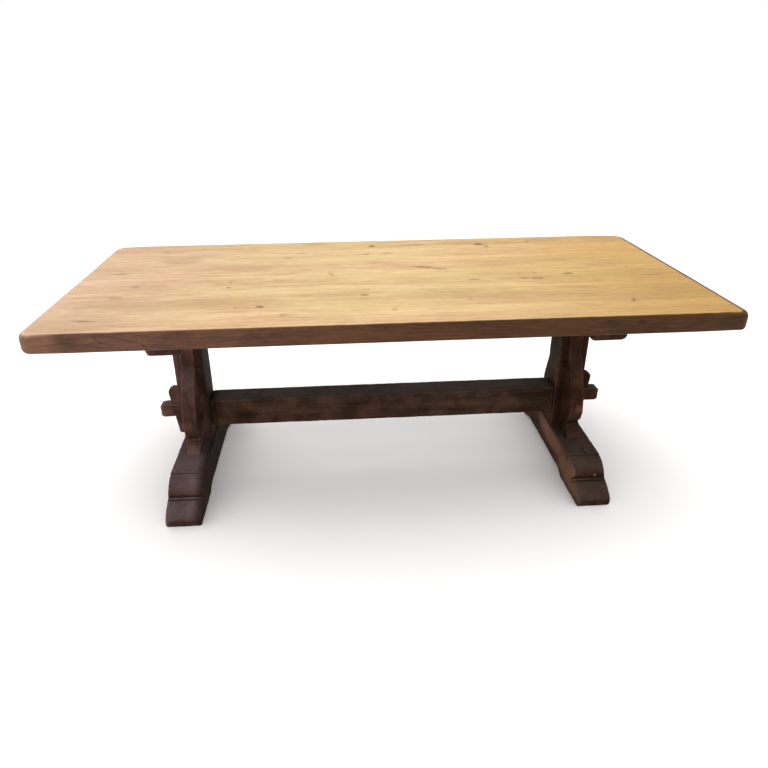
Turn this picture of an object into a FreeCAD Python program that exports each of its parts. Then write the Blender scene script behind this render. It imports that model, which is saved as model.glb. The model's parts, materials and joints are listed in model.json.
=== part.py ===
"""Farmhouse trestle table: a boarded oak top on two shaped trestles, joined by one stretcher.

The table stands on the floor at Z 0, with the origin under the middle of the top. X runs along
the table, Y from the front (minus) to the back (plus), and Z points up. All lengths are in mm.
"""
import FreeCAD, Part
import math
import os

import Sketcher

# Every size that can be set by itself, written once.
SIZES = {
    # the table as a whole
    "table_height": 770,
    "table_length": 2184,
    "trestle_inset": 365,
    # top: six boards from the front to the back, with rounded outer corners and eased arrises
    "board_1_width": 132,
    "board_2_width": 168,
    "board_3_width": 170,
    "board_4_width": 145,
    "board_5_width": 125,
    "board_6_width": 160,
    "top_thickness": 64,
    "front_corner_radius": 24,
    "back_corner_radius": 44,
    "top_arris": 12,
    # loose tongues in grooves between the boards, stopped short of the ends
    "tongue_width": 28,
    "tongue_thickness": 10,
    "tongue_end_margin": 60,
    "tongue_clearance": 0.2,
    # bearer: the cross rail that carries the top
    "bearer_length": 654,
    "bearer_width": 104,
    "bearer_height": 92,
    "bearer_nose_radius": 42,
    "bearer_arris": 3,
    # post, with a tenon at each end
    "post_width": 108,
    "post_depth": 106,
    "post_arris": 3,
    "post_tenon_thickness": 36,
    "post_tenon_width": 70,
    "post_tenon_length": 58,
    "joint_clearance": 0.2,
    "mortise_end_gap": 2,
    # foot: overall sizes, its pads and the relief between them
    "foot_length": 788,
    "foot_width": 124,
    "foot_height": 128,
    "pad_length": 171,
    "relief_run": 48,
    "relief_height": 20,
    "relief_bulge": 5,
    # moulded toe of the foot, from its end inwards: a swell, a groove, a band, a second groove,
    # a large ovolo and a small quirk below the flat
    "toe_arris": 8,
    "toe_bottom_round": 3,
    "toe_face_height": 24,
    "swell_width": 59,
    "swell_rise": 41,
    "swell_bulge": 5.5,
    "groove_width": 4,
    "groove_depth": 4,
    "band_width": 6,
    "band_drop": 3,
    "band_slope": 3.5,
    "ovolo_width": 58,
    "ovolo_lift": 5.5,
    "ovolo_bulge": 10,
    "ovolo_drop": 3.5,
    "quirk_width": 4,
    "quirk_depth": 7,
    # bracket, from the foot upwards: each reach is from the post's face, and each rise is from
    # the corner below
    "bracket_thickness": 50,
    "neck_foot_reach": 110,
    "neck_bulge": 4,
    "neck_rise": 53,
    "neck_top_reach": 81,
    "notch_rise": 7,
    "notch_reach": 69,
    "lip_rise": 5,
    "lip_reach": 78,
    "belly_lower_bulge": 7.5,
    "belly_lower_rise": 57,
    "belly_reach": 98,
    "belly_upper_bulge": 14,
    "belly_upper_rise": 205,
    "strip_reach": 11,
    # stretcher and its through tenons
    "stretcher_height": 112,
    "stretcher_thickness": 90,
    "stretcher_floor_gap": 182,
    "stretcher_arris": 6,
    "tenon_height": 54,
    "tenon_thickness": 40,
    "tenon_top_shoulder": 25,
    "tenon_projection": 86,
    "tenon_end_round": 10,
    # wedge key that locks each tenon outside its post
    "key_thickness": 22,
    "key_head_width": 52,
    "key_tail_width": 27,
    "key_length": 205,
    "key_head_rise": 71,
    "key_head_round": 24,
    "key_tail_round": 8,
    "key_arris": 1.5,
    "key_clearance": 0.3,
    "key_slot_relief": 4,
    # pegs driven through the post's tenons from the outer side of each trestle
    "peg_diameter": 14,
    "peg_spacing": 32,
    "peg_setback": 28,
    "peg_proud": 1.5,
    "peg_blind_gap": 20,
    # dowels that hold the brackets to the posts
    "dowel_diameter": 16,
    "dowel_length": 60,
    "upper_dowel_height": 345,
    "lower_dowel_height": 158,
    "rod_clearance": 0.1,
    # screws and washers in counterbores under the bearers
    "screw_diameter": 8,
    "screw_length": 85,
    "screw_head_radius": 7.5,
    "screw_head_height": 5.5,
    "screw_seam_offset": 45,
    "washer_diameter": 24,
    "washer_thickness": 2,
    "counterbore_diameter": 28,
    "counterbore_depth": 45,
    "screw_tip_gap": 2,
    # how far a cutting tool runs past the face that it opens
    "cut_overrun": 5,
}
BOARD_COUNT = 6
SCREW_SEAMS = (2, 4)
TINY = 1e-4

# Heights and places that several pieces share, as sums of the sizes above.
TRESTLE_X = "table_length/2 - trestle_inset"
BEARER_FLOOR = "table_height - top_thickness - bearer_height"
SCREW_SEAT = BEARER_FLOOR + " + counterbore_depth - washer_thickness"
FOOT_PEG_HEIGHT = "foot_height - peg_setback"
TENON_TOP = "stretcher_floor_gap + stretcher_height - tenon_top_shoulder"
TENON_FLOOR = TENON_TOP + " - tenon_height"
KEY_TOP = TENON_TOP + " + key_head_rise"
KEY_FLOOR = KEY_TOP + " - key_length"

SIDES = ("left", "right")
UPRIGHT = FreeCAD.Rotation()
ALONG_X = FreeCAD.Rotation(FreeCAD.Vector(0, 1, 0), 90)
ALONG_Y = FreeCAD.Rotation(FreeCAD.Vector(1, 0, 0), -90)
HALF_TURN = FreeCAD.Rotation(FreeCAD.Vector(0, 0, 1), 180)
BRACKET_TURNS = {"front": HALF_TURN, "rear": UPRIGHT}

DOC = FreeCAD.newDocument("farmhouse_table")


def make_sheet():
    """Write the sizes into the document's sheet, each with its name as the cell's alias."""
    sheet = DOC.addObject("Spreadsheet::Sheet", "Sizes")
    for row, (name, size) in enumerate(SIZES.items(), start=1):
        sheet.set(f"A{row}", name)
        sheet.set(f"B{row}", str(size))
        sheet.setAlias(f"B{row}", name)
    DOC.recompute()


def number(text):
    """Value of a sum of named sizes, such as 'post_depth/2 + strip_reach'; no text is zero."""
    total = 0.0
    sign = 1
    for word in text.split():
        if word in "+-":
            sign = -1 if word == "-" else 1
        else:
            name, _, divisor = word.partition("/")
            total += sign * SIZES[name] / float(divisor or 1)
    return total


def bound(text):
    """The same sum as an expression that reads the sheet."""
    return " ".join(word if word in "+-" else "Sizes." + word for word in text.split())


def bind(item, prop, text):
    """Tie one property of an object to a sum of named sizes."""
    item.setExpression(prop, bound(text))


def place(item, x="", y="", z="", turn=UPRIGHT):
    """Turn an object and tie each given coordinate of its place to named sizes."""
    item.Placement = FreeCAD.Placement(FreeCAD.Vector(), turn)
    for axis, text in (("x", x), ("y", y), ("z", z)):
        if text:
            bind(item, f".Placement.Base.{axis}", text)


def new_body(label):
    """An empty body that carries the node's name."""
    body = DOC.addObject("PartDesign::Body", "Body_" + label)
    body.Label = label
    return body


def origin_plane(body, role):
    """One of the body's own origin planes."""
    return next(plane for plane in body.Origin.OriginFeatures if plane.Role == role)


def add_box(body, name, x, y, z, length, width, height):
    """Sawn stock: a box whose lowest corner is at x, y, z, or a tenon joined to the body."""
    box = body.newObject("PartDesign::AdditiveBox", name)
    set_box(box, x, y, z, length, width, height)
    return box


def set_box(box, x, y, z, length, width, height):
    """Tie a box's corner and its three sizes to named sizes."""
    place(box, x, y, z)
    bind(box, "Length", length)
    bind(box, "Width", width)
    bind(box, "Height", height)
    DOC.recompute()


def cut_box(body, name, x, y, z, length, width, height):
    """A mortise, slot or groove with square corners."""
    before = body.Shape.Volume
    box = body.newObject("PartDesign::SubtractiveBox", name)
    set_box(box, x, y, z, length, width, height)
    check_cut(body, box, before)


def cut_rod(body, name, turn, x, y, z, radius, length):
    """A round hole that starts at x, y, z and runs along its turned axis."""
    before = body.Shape.Volume
    rod = body.newObject("PartDesign::SubtractiveCylinder", name)
    place(rod, x, y, z, turn)
    bind(rod, "Radius", radius)
    bind(rod, "Height", length)
    DOC.recompute()
    check_cut(body, rod, before)


def check_cut(body, cut, before):
    """Stop when a cut has taken nothing away."""
    if not body.Shape.Volume < before - TINY:
        raise RuntimeError(f"{body.Label}: {cut.Name} cuts nothing")


def arc_edge(start, end, bulge):
    """An arc that bows from its chord by the bulge, and which of its ends is the start.

    A positive bulge bows to the right of the way from start to end, a negative one to the left.
    """
    chord = end - start
    right = FreeCAD.Vector(chord.y, -chord.x, 0).normalize()
    crown = (start + end) / 2 + right * bulge
    through = Part.Circle(start, crown, end)
    centre = through.Center
    circle = Part.Circle(centre, FreeCAD.Vector(0, 0, 1), through.Radius)
    first, last = (start, end) if bulge > 0 else (end, start)
    angles = [math.atan2(point.y - centre.y, point.x - centre.x) for point in (first, last)]
    return Part.ArcOfCircle(circle, *angles), (1, 2) if bulge > 0 else (2, 1)


def radius_rule(step, following):
    """Expression for the radius of a step's arc, worked out from its chord and its bulge."""
    run, rise = (f"({bound(following[i]) or 0} - ({bound(step[i]) or 0}))" for i in range(2))
    bulge = bound(step[2].strip("- "))
    return f"({run}^2 + {rise}^2) / (8 * {bulge}) + {bulge} / 2"


def draw_outline(body, name, role, steps):
    """A closed sketch on an origin plane of the body, drawn anticlockwise.

    Each step is a corner (x, y) where a run starts. A third entry makes that run an arc: the
    name of its bulge, with a minus sign where the run is hollow.
    """
    sketch = body.newObject("Sketcher::SketchObject", name)
    sketch.AttachmentSupport = (origin_plane(body, role), [""])
    sketch.MapMode = "FlatFace"
    corners = [FreeCAD.Vector(number(step[0]), number(step[1]), 0) for step in steps]
    ends = []
    for index, step in enumerate(steps):
        start, end = corners[index], corners[(index + 1) % len(corners)]
        if len(step) > 2:
            edge, order = arc_edge(start, end, number(step[2]))
        else:
            edge, order = Part.LineSegment(start, end), (1, 2)
        ends.append((sketch.addGeometry(edge, False), *order))
    for index, step in enumerate(steps):
        edge, first, _ = ends[index]
        before, _, last = ends[index - 1]
        sketch.addConstraint(Sketcher.Constraint("Coincident", before, last, edge, first))
        hold_corner(sketch, edge, first, step)
        if len(step) > 2:
            size = sketch.Geometry[edge].Radius
            rule = sketch.addConstraint(Sketcher.Constraint("Radius", edge, size))
            following = steps[(index + 1) % len(steps)]
            sketch.setExpression(f"Constraints[{rule}]", radius_rule(step, following))
    DOC.recompute()
    return sketch


def hold_corner(sketch, edge, end, step):
    """Tie a corner's two coordinates to named sizes, or lay it on an axis where one is zero."""
    for kind, axis, text in (("DistanceX", -2, step[0]), ("DistanceY", -1, step[1])):
        if text:
            rule = Sketcher.Constraint(kind, -1, 1, edge, end, number(text))
            bind(sketch, f"Constraints[{sketch.addConstraint(rule)}]", text)
        else:
            sketch.addConstraint(Sketcher.Constraint("PointOnObject", edge, end, axis))


def pad_both_ways(body, sketch, name, length):
    """Extrude a sketch by half the length to each side of its plane."""
    pad = body.newObject("PartDesign::Pad", name)
    pad.Profile = sketch
    pad.SideType = "Symmetric"
    bind(pad, "Length", length)
    DOC.recompute()
    return pad


def mirror(body, feature, name, role):
    """Repeat a feature on the other side of one of the body's origin planes."""
    copy = body.newObject("PartDesign::Mirrored", name)
    copy.Originals = [feature]
    copy.MirrorPlane = (origin_plane(body, role), [""])
    body.Tip = copy
    DOC.recompute()
    return copy


def edges_where(feature, test):
    """Names of the feature's edges that pass a test."""
    return [f"Edge{i}" for i, edge in enumerate(feature.Shape.Edges, start=1) if test(edge)]


def round_edges(body, feature, name, radius, test):
    """Round the edges of the feature that pass a test."""
    fillet = body.newObject("PartDesign::Fillet", name)
    fillet.Base = (feature, edges_where(feature, test))
    bind(fillet, "Radius", radius)
    DOC.recompute()
    return fillet


def is_flat(edge, axis):
    """Whether the edge keeps one coordinate."""
    return getattr(edge.BoundBox, axis + "Length") < TINY


def at(edge, axis, text):
    """Whether the whole edge lies at one coordinate, given as a sum of named sizes."""
    middle = getattr(edge.BoundBox.Center, axis.lower())
    return is_flat(edge, axis) and abs(middle - number(text)) < TINY


def seam(board):
    """Y of the joint behind a board, counted from the front; board 0 gives the front edge."""
    words = []
    for index in range(1, BOARD_COUNT + 1):
        words.append(f"{'+' if index <= board else '-'} board_{index}_width/2")
    return " ".join(words)


def screw_places():
    """Y of the screws that hold the top: one on each side of two joints."""
    places = []
    for joint in SCREW_SEAMS:
        places.append(seam(joint) + " - screw_seam_offset")
        places.append(seam(joint) + " + screw_seam_offset")
    return places


def top_board(index):
    """A board of the top; the first and the last have rounded outer corners.

    The corners at the front are small, and the ones at the back are larger.
    """
    body = new_body(f"top_board_{index}")
    front = seam(index - 1)
    back = seam(index)
    board = add_box(
        body, "board",
        "- table_length/2", front, "", "table_length", f"board_{index}_width", "top_thickness",
    )
    inner = {1: [back], BOARD_COUNT: [front]}.get(index, [front, back])

    def is_inner(edge):
        return any(at(edge, "Y", joint) for joint in inner)

    if len(inner) == 1:
        board = round_edges(
            body, board, "outer_corners",
            "front_corner_radius" if index == 1 else "back_corner_radius",
            lambda edge: is_flat(edge, "X") and is_flat(edge, "Y") and not is_inner(edge),
        )
    round_edges(
        body, board, "arris", "top_arris", lambda edge: is_flat(edge, "Z") and not is_inner(edge)
    )
    if index > 1:
        cut_groove(body, "front_groove", index - 1)
    if index < BOARD_COUNT:
        cut_groove(body, "back_groove", index)
    for place_y in screw_places():
        if number(front) < number(place_y) < number(back):
            cut_pilot_holes(body, place_y)
    place(body, z="table_height - top_thickness")
    return body


def cut_groove(body, name, joint):
    """Half of the groove that takes a loose tongue, cut into the board on one side of a joint."""
    cut_box(
        body, name,
        "- table_length/2 + tongue_end_margin - tongue_clearance",
        seam(joint) + " - tongue_width/2 - tongue_clearance",
        "top_thickness/2 - tongue_thickness/2 - tongue_clearance",
        "table_length - tongue_end_margin - tongue_end_margin + tongue_clearance + tongue_clearance",
        "tongue_width + tongue_clearance + tongue_clearance",
        "tongue_thickness + tongue_clearance + tongue_clearance",
    )


def cut_pilot_holes(body, place_y):
    """A hole over each trestle for a screw that comes up through the bearer."""
    for side in SIDES:
        cut_rod(
            body, side + "_pilot_hole", UPRIGHT, trestle_x(side), place_y, "- cut_overrun",
            "screw_diameter/2 + rod_clearance",
            "cut_overrun + counterbore_depth + screw_length + screw_tip_gap"
            " - washer_thickness - bearer_height",
        )


def loose_tongue(joint):
    """The tongue that lines up two boards."""
    body = new_body(f"loose_tongue_{joint}")
    add_box(
        body, "tongue",
        "- table_length/2 + tongue_end_margin", "- tongue_width/2", "- tongue_thickness/2",
        "table_length - tongue_end_margin - tongue_end_margin", "tongue_width", "tongue_thickness",
    )
    place(body, y=seam(joint), z="table_height - top_thickness/2")
    return body


def bearer(side):
    """Cross rail with rounded lower ends, a mortise for the post, and screw holes."""
    body = new_body(side + "_bearer")
    rail = add_box(
        body, "rail",
        "- bearer_width/2", "- bearer_length/2", "",
        "bearer_width", "bearer_length", "bearer_height",
    )

    def is_lower_end(edge):
        return is_flat(edge, "Y") and is_flat(edge, "Z") and edge.BoundBox.ZMax < TINY

    nose = round_edges(body, rail, "nose", "bearer_nose_radius", is_lower_end)

    def is_lower_side(edge):
        return is_flat(edge, "X") and edge.BoundBox.ZMax < number("bearer_height") - TINY

    round_edges(body, nose, "arris", "bearer_arris", is_lower_side)
    cut_post_mortise(body, "- cut_overrun", "cut_overrun + post_tenon_length + mortise_end_gap")
    cut_peg_holes(body, "bearer_width", "peg_setback")
    for index, place_y in enumerate(screw_places(), start=1):
        local_y = place_y if side == "right" else flipped(place_y)
        cut_rod(
            body, f"counterbore_{index}", UPRIGHT, "", local_y, "- cut_overrun",
            "counterbore_diameter/2", "counterbore_depth + cut_overrun",
        )
        cut_rod(
            body, f"screw_hole_{index}", UPRIGHT, "", local_y, "",
            "screw_diameter/2 + joint_clearance", "bearer_height + cut_overrun",
        )
    place_on_trestle(body, side, BEARER_FLOOR)
    return body


def flipped(text):
    """The same sum with every sign turned round."""
    swap = {"+": "-", "-": "+"}
    words = text.split()
    if words[0] not in swap:
        words.insert(0, "+")
    return " ".join(swap.get(word, word) for word in words)


def trestle_x(side):
    """X of a trestle's middle."""
    return flipped(TRESTLE_X) if side == "left" else TRESTLE_X


def place_on_trestle(item, side, height=""):
    """Stand a piece on its trestle, with its outer side away from the middle of the table."""
    place(item, trestle_x(side), z=height, turn=HALF_TURN if side == "left" else UPRIGHT)


def cut_post_mortise(body, floor, depth):
    """Blind mortise for the post's tenon."""
    cut_box(
        body, "post_mortise",
        "- post_tenon_thickness/2 - joint_clearance", "- post_tenon_width/2 - joint_clearance",
        floor,
        "post_tenon_thickness + joint_clearance + joint_clearance",
        "post_tenon_width + joint_clearance + joint_clearance",
        depth,
    )


def cut_peg_holes(body, width, height):
    """Two blind holes for pegs, bored from the outer side of a beam of the given width."""
    for index, offset in enumerate(("- peg_spacing/2", "peg_spacing/2"), start=1):
        cut_rod(
            body, f"peg_hole_{index}", ALONG_X,
            f"peg_blind_gap - {width}/2 - rod_clearance", offset, height,
            "peg_diameter/2 + rod_clearance", f"{width} + cut_overrun - peg_blind_gap",
        )


def post(side):
    """Square post with a tenon at each end and a through mortise for the stretcher."""
    body = new_body(side + "_post")
    stock = add_box(
        body, "stock",
        "- post_width/2", "- post_depth/2", "foot_height",
        "post_width", "post_depth", BEARER_FLOOR + " - foot_height",
    )
    round_edges(
        body, stock, "arris", "post_arris", lambda edge: is_flat(edge, "X") and is_flat(edge, "Y")
    )
    add_box(
        body, "tenons",
        "- post_tenon_thickness/2", "- post_tenon_width/2", "foot_height - post_tenon_length",
        "post_tenon_thickness", "post_tenon_width",
        BEARER_FLOOR + " - foot_height + post_tenon_length + post_tenon_length",
    )
    cut_box(
        body, "stretcher_mortise",
        "- post_width/2 - cut_overrun", "- tenon_thickness/2 - joint_clearance",
        TENON_FLOOR + " - joint_clearance",
        "post_width + cut_overrun + cut_overrun",
        "tenon_thickness + joint_clearance + joint_clearance",
        "tenon_height + joint_clearance + joint_clearance",
    )
    for name, height in (("bearer", BEARER_FLOOR + " + peg_setback"), ("foot", FOOT_PEG_HEIGHT)):
        for index, offset in enumerate(("- peg_spacing/2", "peg_spacing/2"), start=1):
            cut_rod(
                body, f"{name}_peg_hole_{index}", ALONG_X,
                "- post_tenon_thickness/2 - cut_overrun", offset, height,
                "peg_diameter/2 + rod_clearance",
                "post_tenon_thickness + cut_overrun + cut_overrun",
            )
    for face in BRACKET_TURNS:
        for level in ("upper", "lower"):
            cut_dowel_hole(body, f"{face}_{level}_dowel_hole", face, level)
    place_on_trestle(body, side)
    return body


def cut_dowel_hole(body, name, face, level):
    """A hole across the joint between the post and a bracket; it cuts what the body holds of it."""
    middle = "- post_depth/2" if face == "front" else "post_depth/2"
    cut_rod(
        body, name, ALONG_Y,
        "", middle + " - dowel_length/2 - rod_clearance", f"{level}_dowel_height",
        "dowel_diameter/2 + rod_clearance", "dowel_length + rod_clearance + rod_clearance",
    )


def foot(side):
    """Floor beam with moulded toes, a relieved underside and a mortise for the post."""
    body = new_body(side + "_foot")
    pad = "foot_length/2 - pad_length"
    swell = "foot_length/2 - swell_width"
    band = swell + " - groove_width"
    ovolo = band + " - band_width - groove_width"
    quirk = ovolo + " - ovolo_width"
    swell_top = "toe_face_height + swell_rise"
    band_end = swell_top + " + band_drop"
    half = draw_outline(body, "side_view", "YZ_Plane", [
        ("", "relief_height"),
        (pad + " - relief_run", "relief_height", "- relief_bulge"),
        (pad, ""),
        ("foot_length/2", ""),
        ("foot_length/2", "toe_face_height", "swell_bulge"),
        (swell, swell_top),
        (band, swell_top + " - groove_depth"),
        (band, band_end),
        (band + " - band_width", band_end + " + band_slope"),
        (ovolo, band_end + " + band_slope - groove_depth"),
        (ovolo, band_end + " + band_slope + ovolo_lift", "ovolo_bulge"),
        (quirk, "foot_height - ovolo_drop"),
        (quirk + " - quirk_width/2", "foot_height - quirk_depth"),
        (quirk + " - quirk_width", "foot_height"),
        ("", "foot_height"),
    ])
    rear = pad_both_ways(body, half, "rear_half", "foot_width")
    whole = mirror(body, rear, "front_half", "XZ_Plane")
    corners = round_edges(
        body, whole, "toe_corner", "toe_arris",
        lambda edge: is_flat(edge, "X") and is_toe_end(edge),
    )

    def is_toe_bottom(edge):
        return is_flat(edge, "Z") and edge.BoundBox.ZMax < TINY and is_toe_end(edge)

    round_edges(body, corners, "toe_bottom", "toe_bottom_round", is_toe_bottom)
    cut_post_mortise(
        body, "foot_height - post_tenon_length - mortise_end_gap",
        "post_tenon_length + mortise_end_gap + cut_overrun",
    )
    cut_peg_holes(body, "foot_width", FOOT_PEG_HEIGHT)
    place_on_trestle(body, side)
    return body


def is_toe_end(edge):
    """Whether an edge lies on the upright face of a toe."""
    return at(edge, "Y", "foot_length/2") or at(edge, "Y", "- foot_length/2")


def bracket(side, face):
    """Shaped wing on one face of the post: a neck, a notch with a lip, a belly and a strip."""
    body = new_body(f"{side}_{face}_bracket")
    seat = "post_depth/2"
    neck_top = "foot_height + neck_rise"
    notch = neck_top + " + notch_rise"
    lip = notch + " + lip_rise"
    belly = lip + " + belly_lower_rise"
    belly_top = belly + " + belly_upper_rise"
    sketch = draw_outline(body, "side_view", "YZ_Plane", [
        (seat, "foot_height"),
        (seat + " + neck_foot_reach", "foot_height", "- neck_bulge"),
        (seat + " + neck_top_reach", neck_top),
        (seat + " + notch_reach", notch),
        (seat + " + lip_reach", lip, "belly_lower_bulge"),
        (seat + " + belly_reach", belly, "belly_upper_bulge"),
        (seat + " + strip_reach", belly_top),
        (seat + " + strip_reach", BEARER_FLOOR),
        (seat, BEARER_FLOOR),
    ])
    pad_both_ways(body, sketch, "thickness", "bracket_thickness")
    for level in ("upper", "lower"):
        cut_dowel_hole(body, f"{level}_dowel_hole", "rear", level)
    place(body, trestle_x(side), turn=BRACKET_TURNS[face])
    return body


def stretcher():
    """Rail between the posts, with a through tenon and a key slot at each end."""
    body = new_body("stretcher")
    spacing = "table_length - trestle_inset - trestle_inset"
    outer_face = TRESTLE_X + " + post_width/2"
    rail = add_box(
        body, "rail",
        flipped(TRESTLE_X) + " + post_width/2", "- stretcher_thickness/2", "stretcher_floor_gap",
        spacing + " - post_width", "stretcher_thickness", "stretcher_height",
    )
    round_edges(
        body, rail, "arris", "stretcher_arris",
        lambda edge: is_flat(edge, "Y") and is_flat(edge, "Z"),
    )
    tenons = add_box(
        body, "tenons",
        flipped(outer_face) + " - tenon_projection", "- tenon_thickness/2", TENON_FLOOR,
        spacing + " + post_width + tenon_projection + tenon_projection",
        "tenon_thickness", "tenon_height",
    )

    def is_tenon_end(edge):
        far = abs(edge.BoundBox.Center.x) > number(outer_face)
        return far and is_flat(edge, "X") and is_flat(edge, "Z")

    round_edges(body, tenons, "tenon_end", "tenon_end_round", is_tenon_end)
    before = body.Shape.Volume
    sketch = draw_outline(body, "key_slot_side_view", "XZ_Plane", [
        (outer_face + " - key_slot_relief", KEY_FLOOR),
        (outer_face + " + key_tail_width + key_clearance + key_clearance", KEY_FLOOR),
        (outer_face + " + key_head_width + key_clearance + key_clearance", KEY_TOP),
        (outer_face + " - key_slot_relief", KEY_TOP),
    ])
    slot = body.newObject("PartDesign::Pocket", "key_slot")
    slot.Profile = sketch
    slot.SideType = "Symmetric"
    bind(slot, "Length", "key_thickness + key_clearance + key_clearance")
    DOC.recompute()
    check_cut(body, slot, before)
    before = body.Shape.Volume
    other = mirror(body, slot, "other_key_slot", "YZ_Plane")
    check_cut(body, other, before)
    return body


def key(side):
    """Tapered key with a rounded head; its straight edge bears on the post."""
    body = new_body(side + "_key")
    face = "post_width/2 + key_clearance"
    sketch = draw_outline(body, "side_view", "XZ_Plane", [
        (face, KEY_FLOOR),
        (face + " + key_tail_width", KEY_FLOOR),
        (face + " + key_head_width", KEY_TOP),
        (face, KEY_TOP),
    ])
    wedge = pad_both_ways(body, sketch, "wedge", "key_thickness")

    head = round_edges(
        body, wedge, "head", "key_head_round",
        lambda edge: is_flat(edge, "X") and at(edge, "Z", KEY_TOP),
    )
    tail = round_edges(
        body, head, "tail", "key_tail_round",
        lambda edge: is_flat(edge, "X") and at(edge, "Z", KEY_FLOOR),
    )
    round_edges(body, tail, "arris", "key_arris", lambda edge: is_flat(edge, "Y"))
    place_on_trestle(body, side)
    return body


def new_rod(name, radius, height, turn, x="", y="", z=""):
    """A round rod such as a peg, a dowel or a screw's shank."""
    rod = DOC.addObject("Part::Cylinder", name)
    bind(rod, "Radius", radius)
    bind(rod, "Height", height)
    place(rod, x, y, z, turn)
    return rod


def new_group(label, pieces):
    """Like pieces that share one node, each still a solid of its own."""
    group = DOC.addObject("Part::Compound", "Group_" + label)
    group.Label = label
    group.Links = pieces
    DOC.recompute()
    return group


def pegs(side, beam, width, height):
    """Two pegs through a tenon, driven from the outer side of the trestle."""
    label = f"{side}_{beam}_pegs"
    pieces = []
    for offset in ("- peg_spacing/2", "peg_spacing/2"):
        pieces.append(new_rod(
            label + "_peg", "peg_diameter/2", f"{width} + peg_proud - peg_blind_gap", ALONG_X,
            f"peg_blind_gap - {width}/2", offset, height,
        ))
    group = new_group(label, pieces)
    place_on_trestle(group, side)
    return group


def bracket_dowels(side):
    """Four dowels: two for the front bracket and two for the rear one."""
    label = side + "_bracket_dowels"
    pieces = []
    for middle in ("- post_depth/2", "post_depth/2"):
        for level in ("upper", "lower"):
            pieces.append(new_rod(
                label + "_dowel", "dowel_diameter/2", "dowel_length", ALONG_Y,
                "", middle + " - dowel_length/2", f"{level}_dowel_height",
            ))
    group = new_group(label, pieces)
    place_on_trestle(group, side)
    return group


def top_screws(side):
    """Screws up through the bearer into the boards, each with a six-sided head."""
    label = side + "_top_screws"
    pieces = []
    for place_y in screw_places():
        shank = new_rod(
            label + "_shank", "screw_diameter/2", "screw_length", UPRIGHT,
            "", place_y, SCREW_SEAT,
        )
        head = DOC.addObject("Part::Prism", label + "_head")
        head.Polygon = 6
        bind(head, "Circumradius", "screw_head_radius")
        bind(head, "Height", "screw_head_height")
        place(head, "", place_y, SCREW_SEAT + " - screw_head_height")
        screw = DOC.addObject("Part::Fuse", label + "_screw")
        screw.Base = shank
        screw.Tool = head
        pieces.append(screw)
    group = new_group(label, pieces)
    place(group, trestle_x(side))
    return group


def top_washers(side):
    """A flat washer under each screw head."""
    label = side + "_top_washers"
    pieces = []
    for place_y in screw_places():
        disc = new_rod(
            label + "_disc", "washer_diameter/2", "washer_thickness", UPRIGHT, "", place_y, SCREW_SEAT
        )
        hole = new_rod(
            label + "_hole", "screw_diameter/2 + joint_clearance", "washer_thickness + cut_overrun",
            UPRIGHT, "", place_y, SCREW_SEAT,
        )
        washer = DOC.addObject("Part::Cut", label + "_washer")
        washer.Base = disc
        washer.Tool = hole
        pieces.append(washer)
    group = new_group(label, pieces)
    place(group, trestle_x(side))
    return group


def build_table():
    """All the nodes, in the order in which the table would be put together."""
    nodes = [stretcher()]
    for side in SIDES:
        nodes += [foot(side), post(side), bearer(side)]
        nodes += [bracket(side, face) for face in BRACKET_TURNS]
        nodes.append(pegs(side, "foot", "foot_width", FOOT_PEG_HEIGHT))
        nodes.append(pegs(side, "bearer", "bearer_width", BEARER_FLOOR + " + peg_setback"))
        nodes += [bracket_dowels(side), key(side)]
        nodes += [top_washers(side), top_screws(side)]
    nodes += [top_board(index) for index in range(1, BOARD_COUNT + 1)]
    nodes += [loose_tongue(joint) for joint in range(1, BOARD_COUNT)]
    return nodes


def check_document(nodes):
    """Stop at any failed object, and at any node whose shape is empty or invalid."""
    for item in DOC.Objects:
        if "Invalid" in item.State or "Error" in item.State:
            raise RuntimeError(f"{item.Name} ({item.Label}) failed: {item.State}")
    for node in nodes:
        if node.Shape.isNull() or not node.Shape.isValid() or not node.Shape.Solids:
            raise RuntimeError(f"{node.Label} has no valid solid")


make_sheet()
NODES = build_table()
DOC.recompute()
check_document(NODES)
os.makedirs("parts", exist_ok=True)
for node in NODES:
    node.Shape.exportStep(f"parts/{node.Label}.step")
    print(f"{node.Label}: {len(node.Shape.Solids)} solids, {node.Shape.Volume / 1000:.1f} cm3")
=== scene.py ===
# %% [markdown]
# # A farmhouse table, finished in Blender
# The joiner's model of the table is already made: boards, trestles, stretcher, keys and pegs, all
# at their real size. This lesson gives each piece the surface that a real one has: planed boards
# with worn edges, stained beams whose corners are rubbed bright, and whittled pegs. Nothing is
# moved or resized. We load the model first and note its outer box.

# %% Load the joiner's model
import json
from math import cos, pi, sin

import bmesh
import bpy
from mathutils import Matrix, Vector

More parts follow.
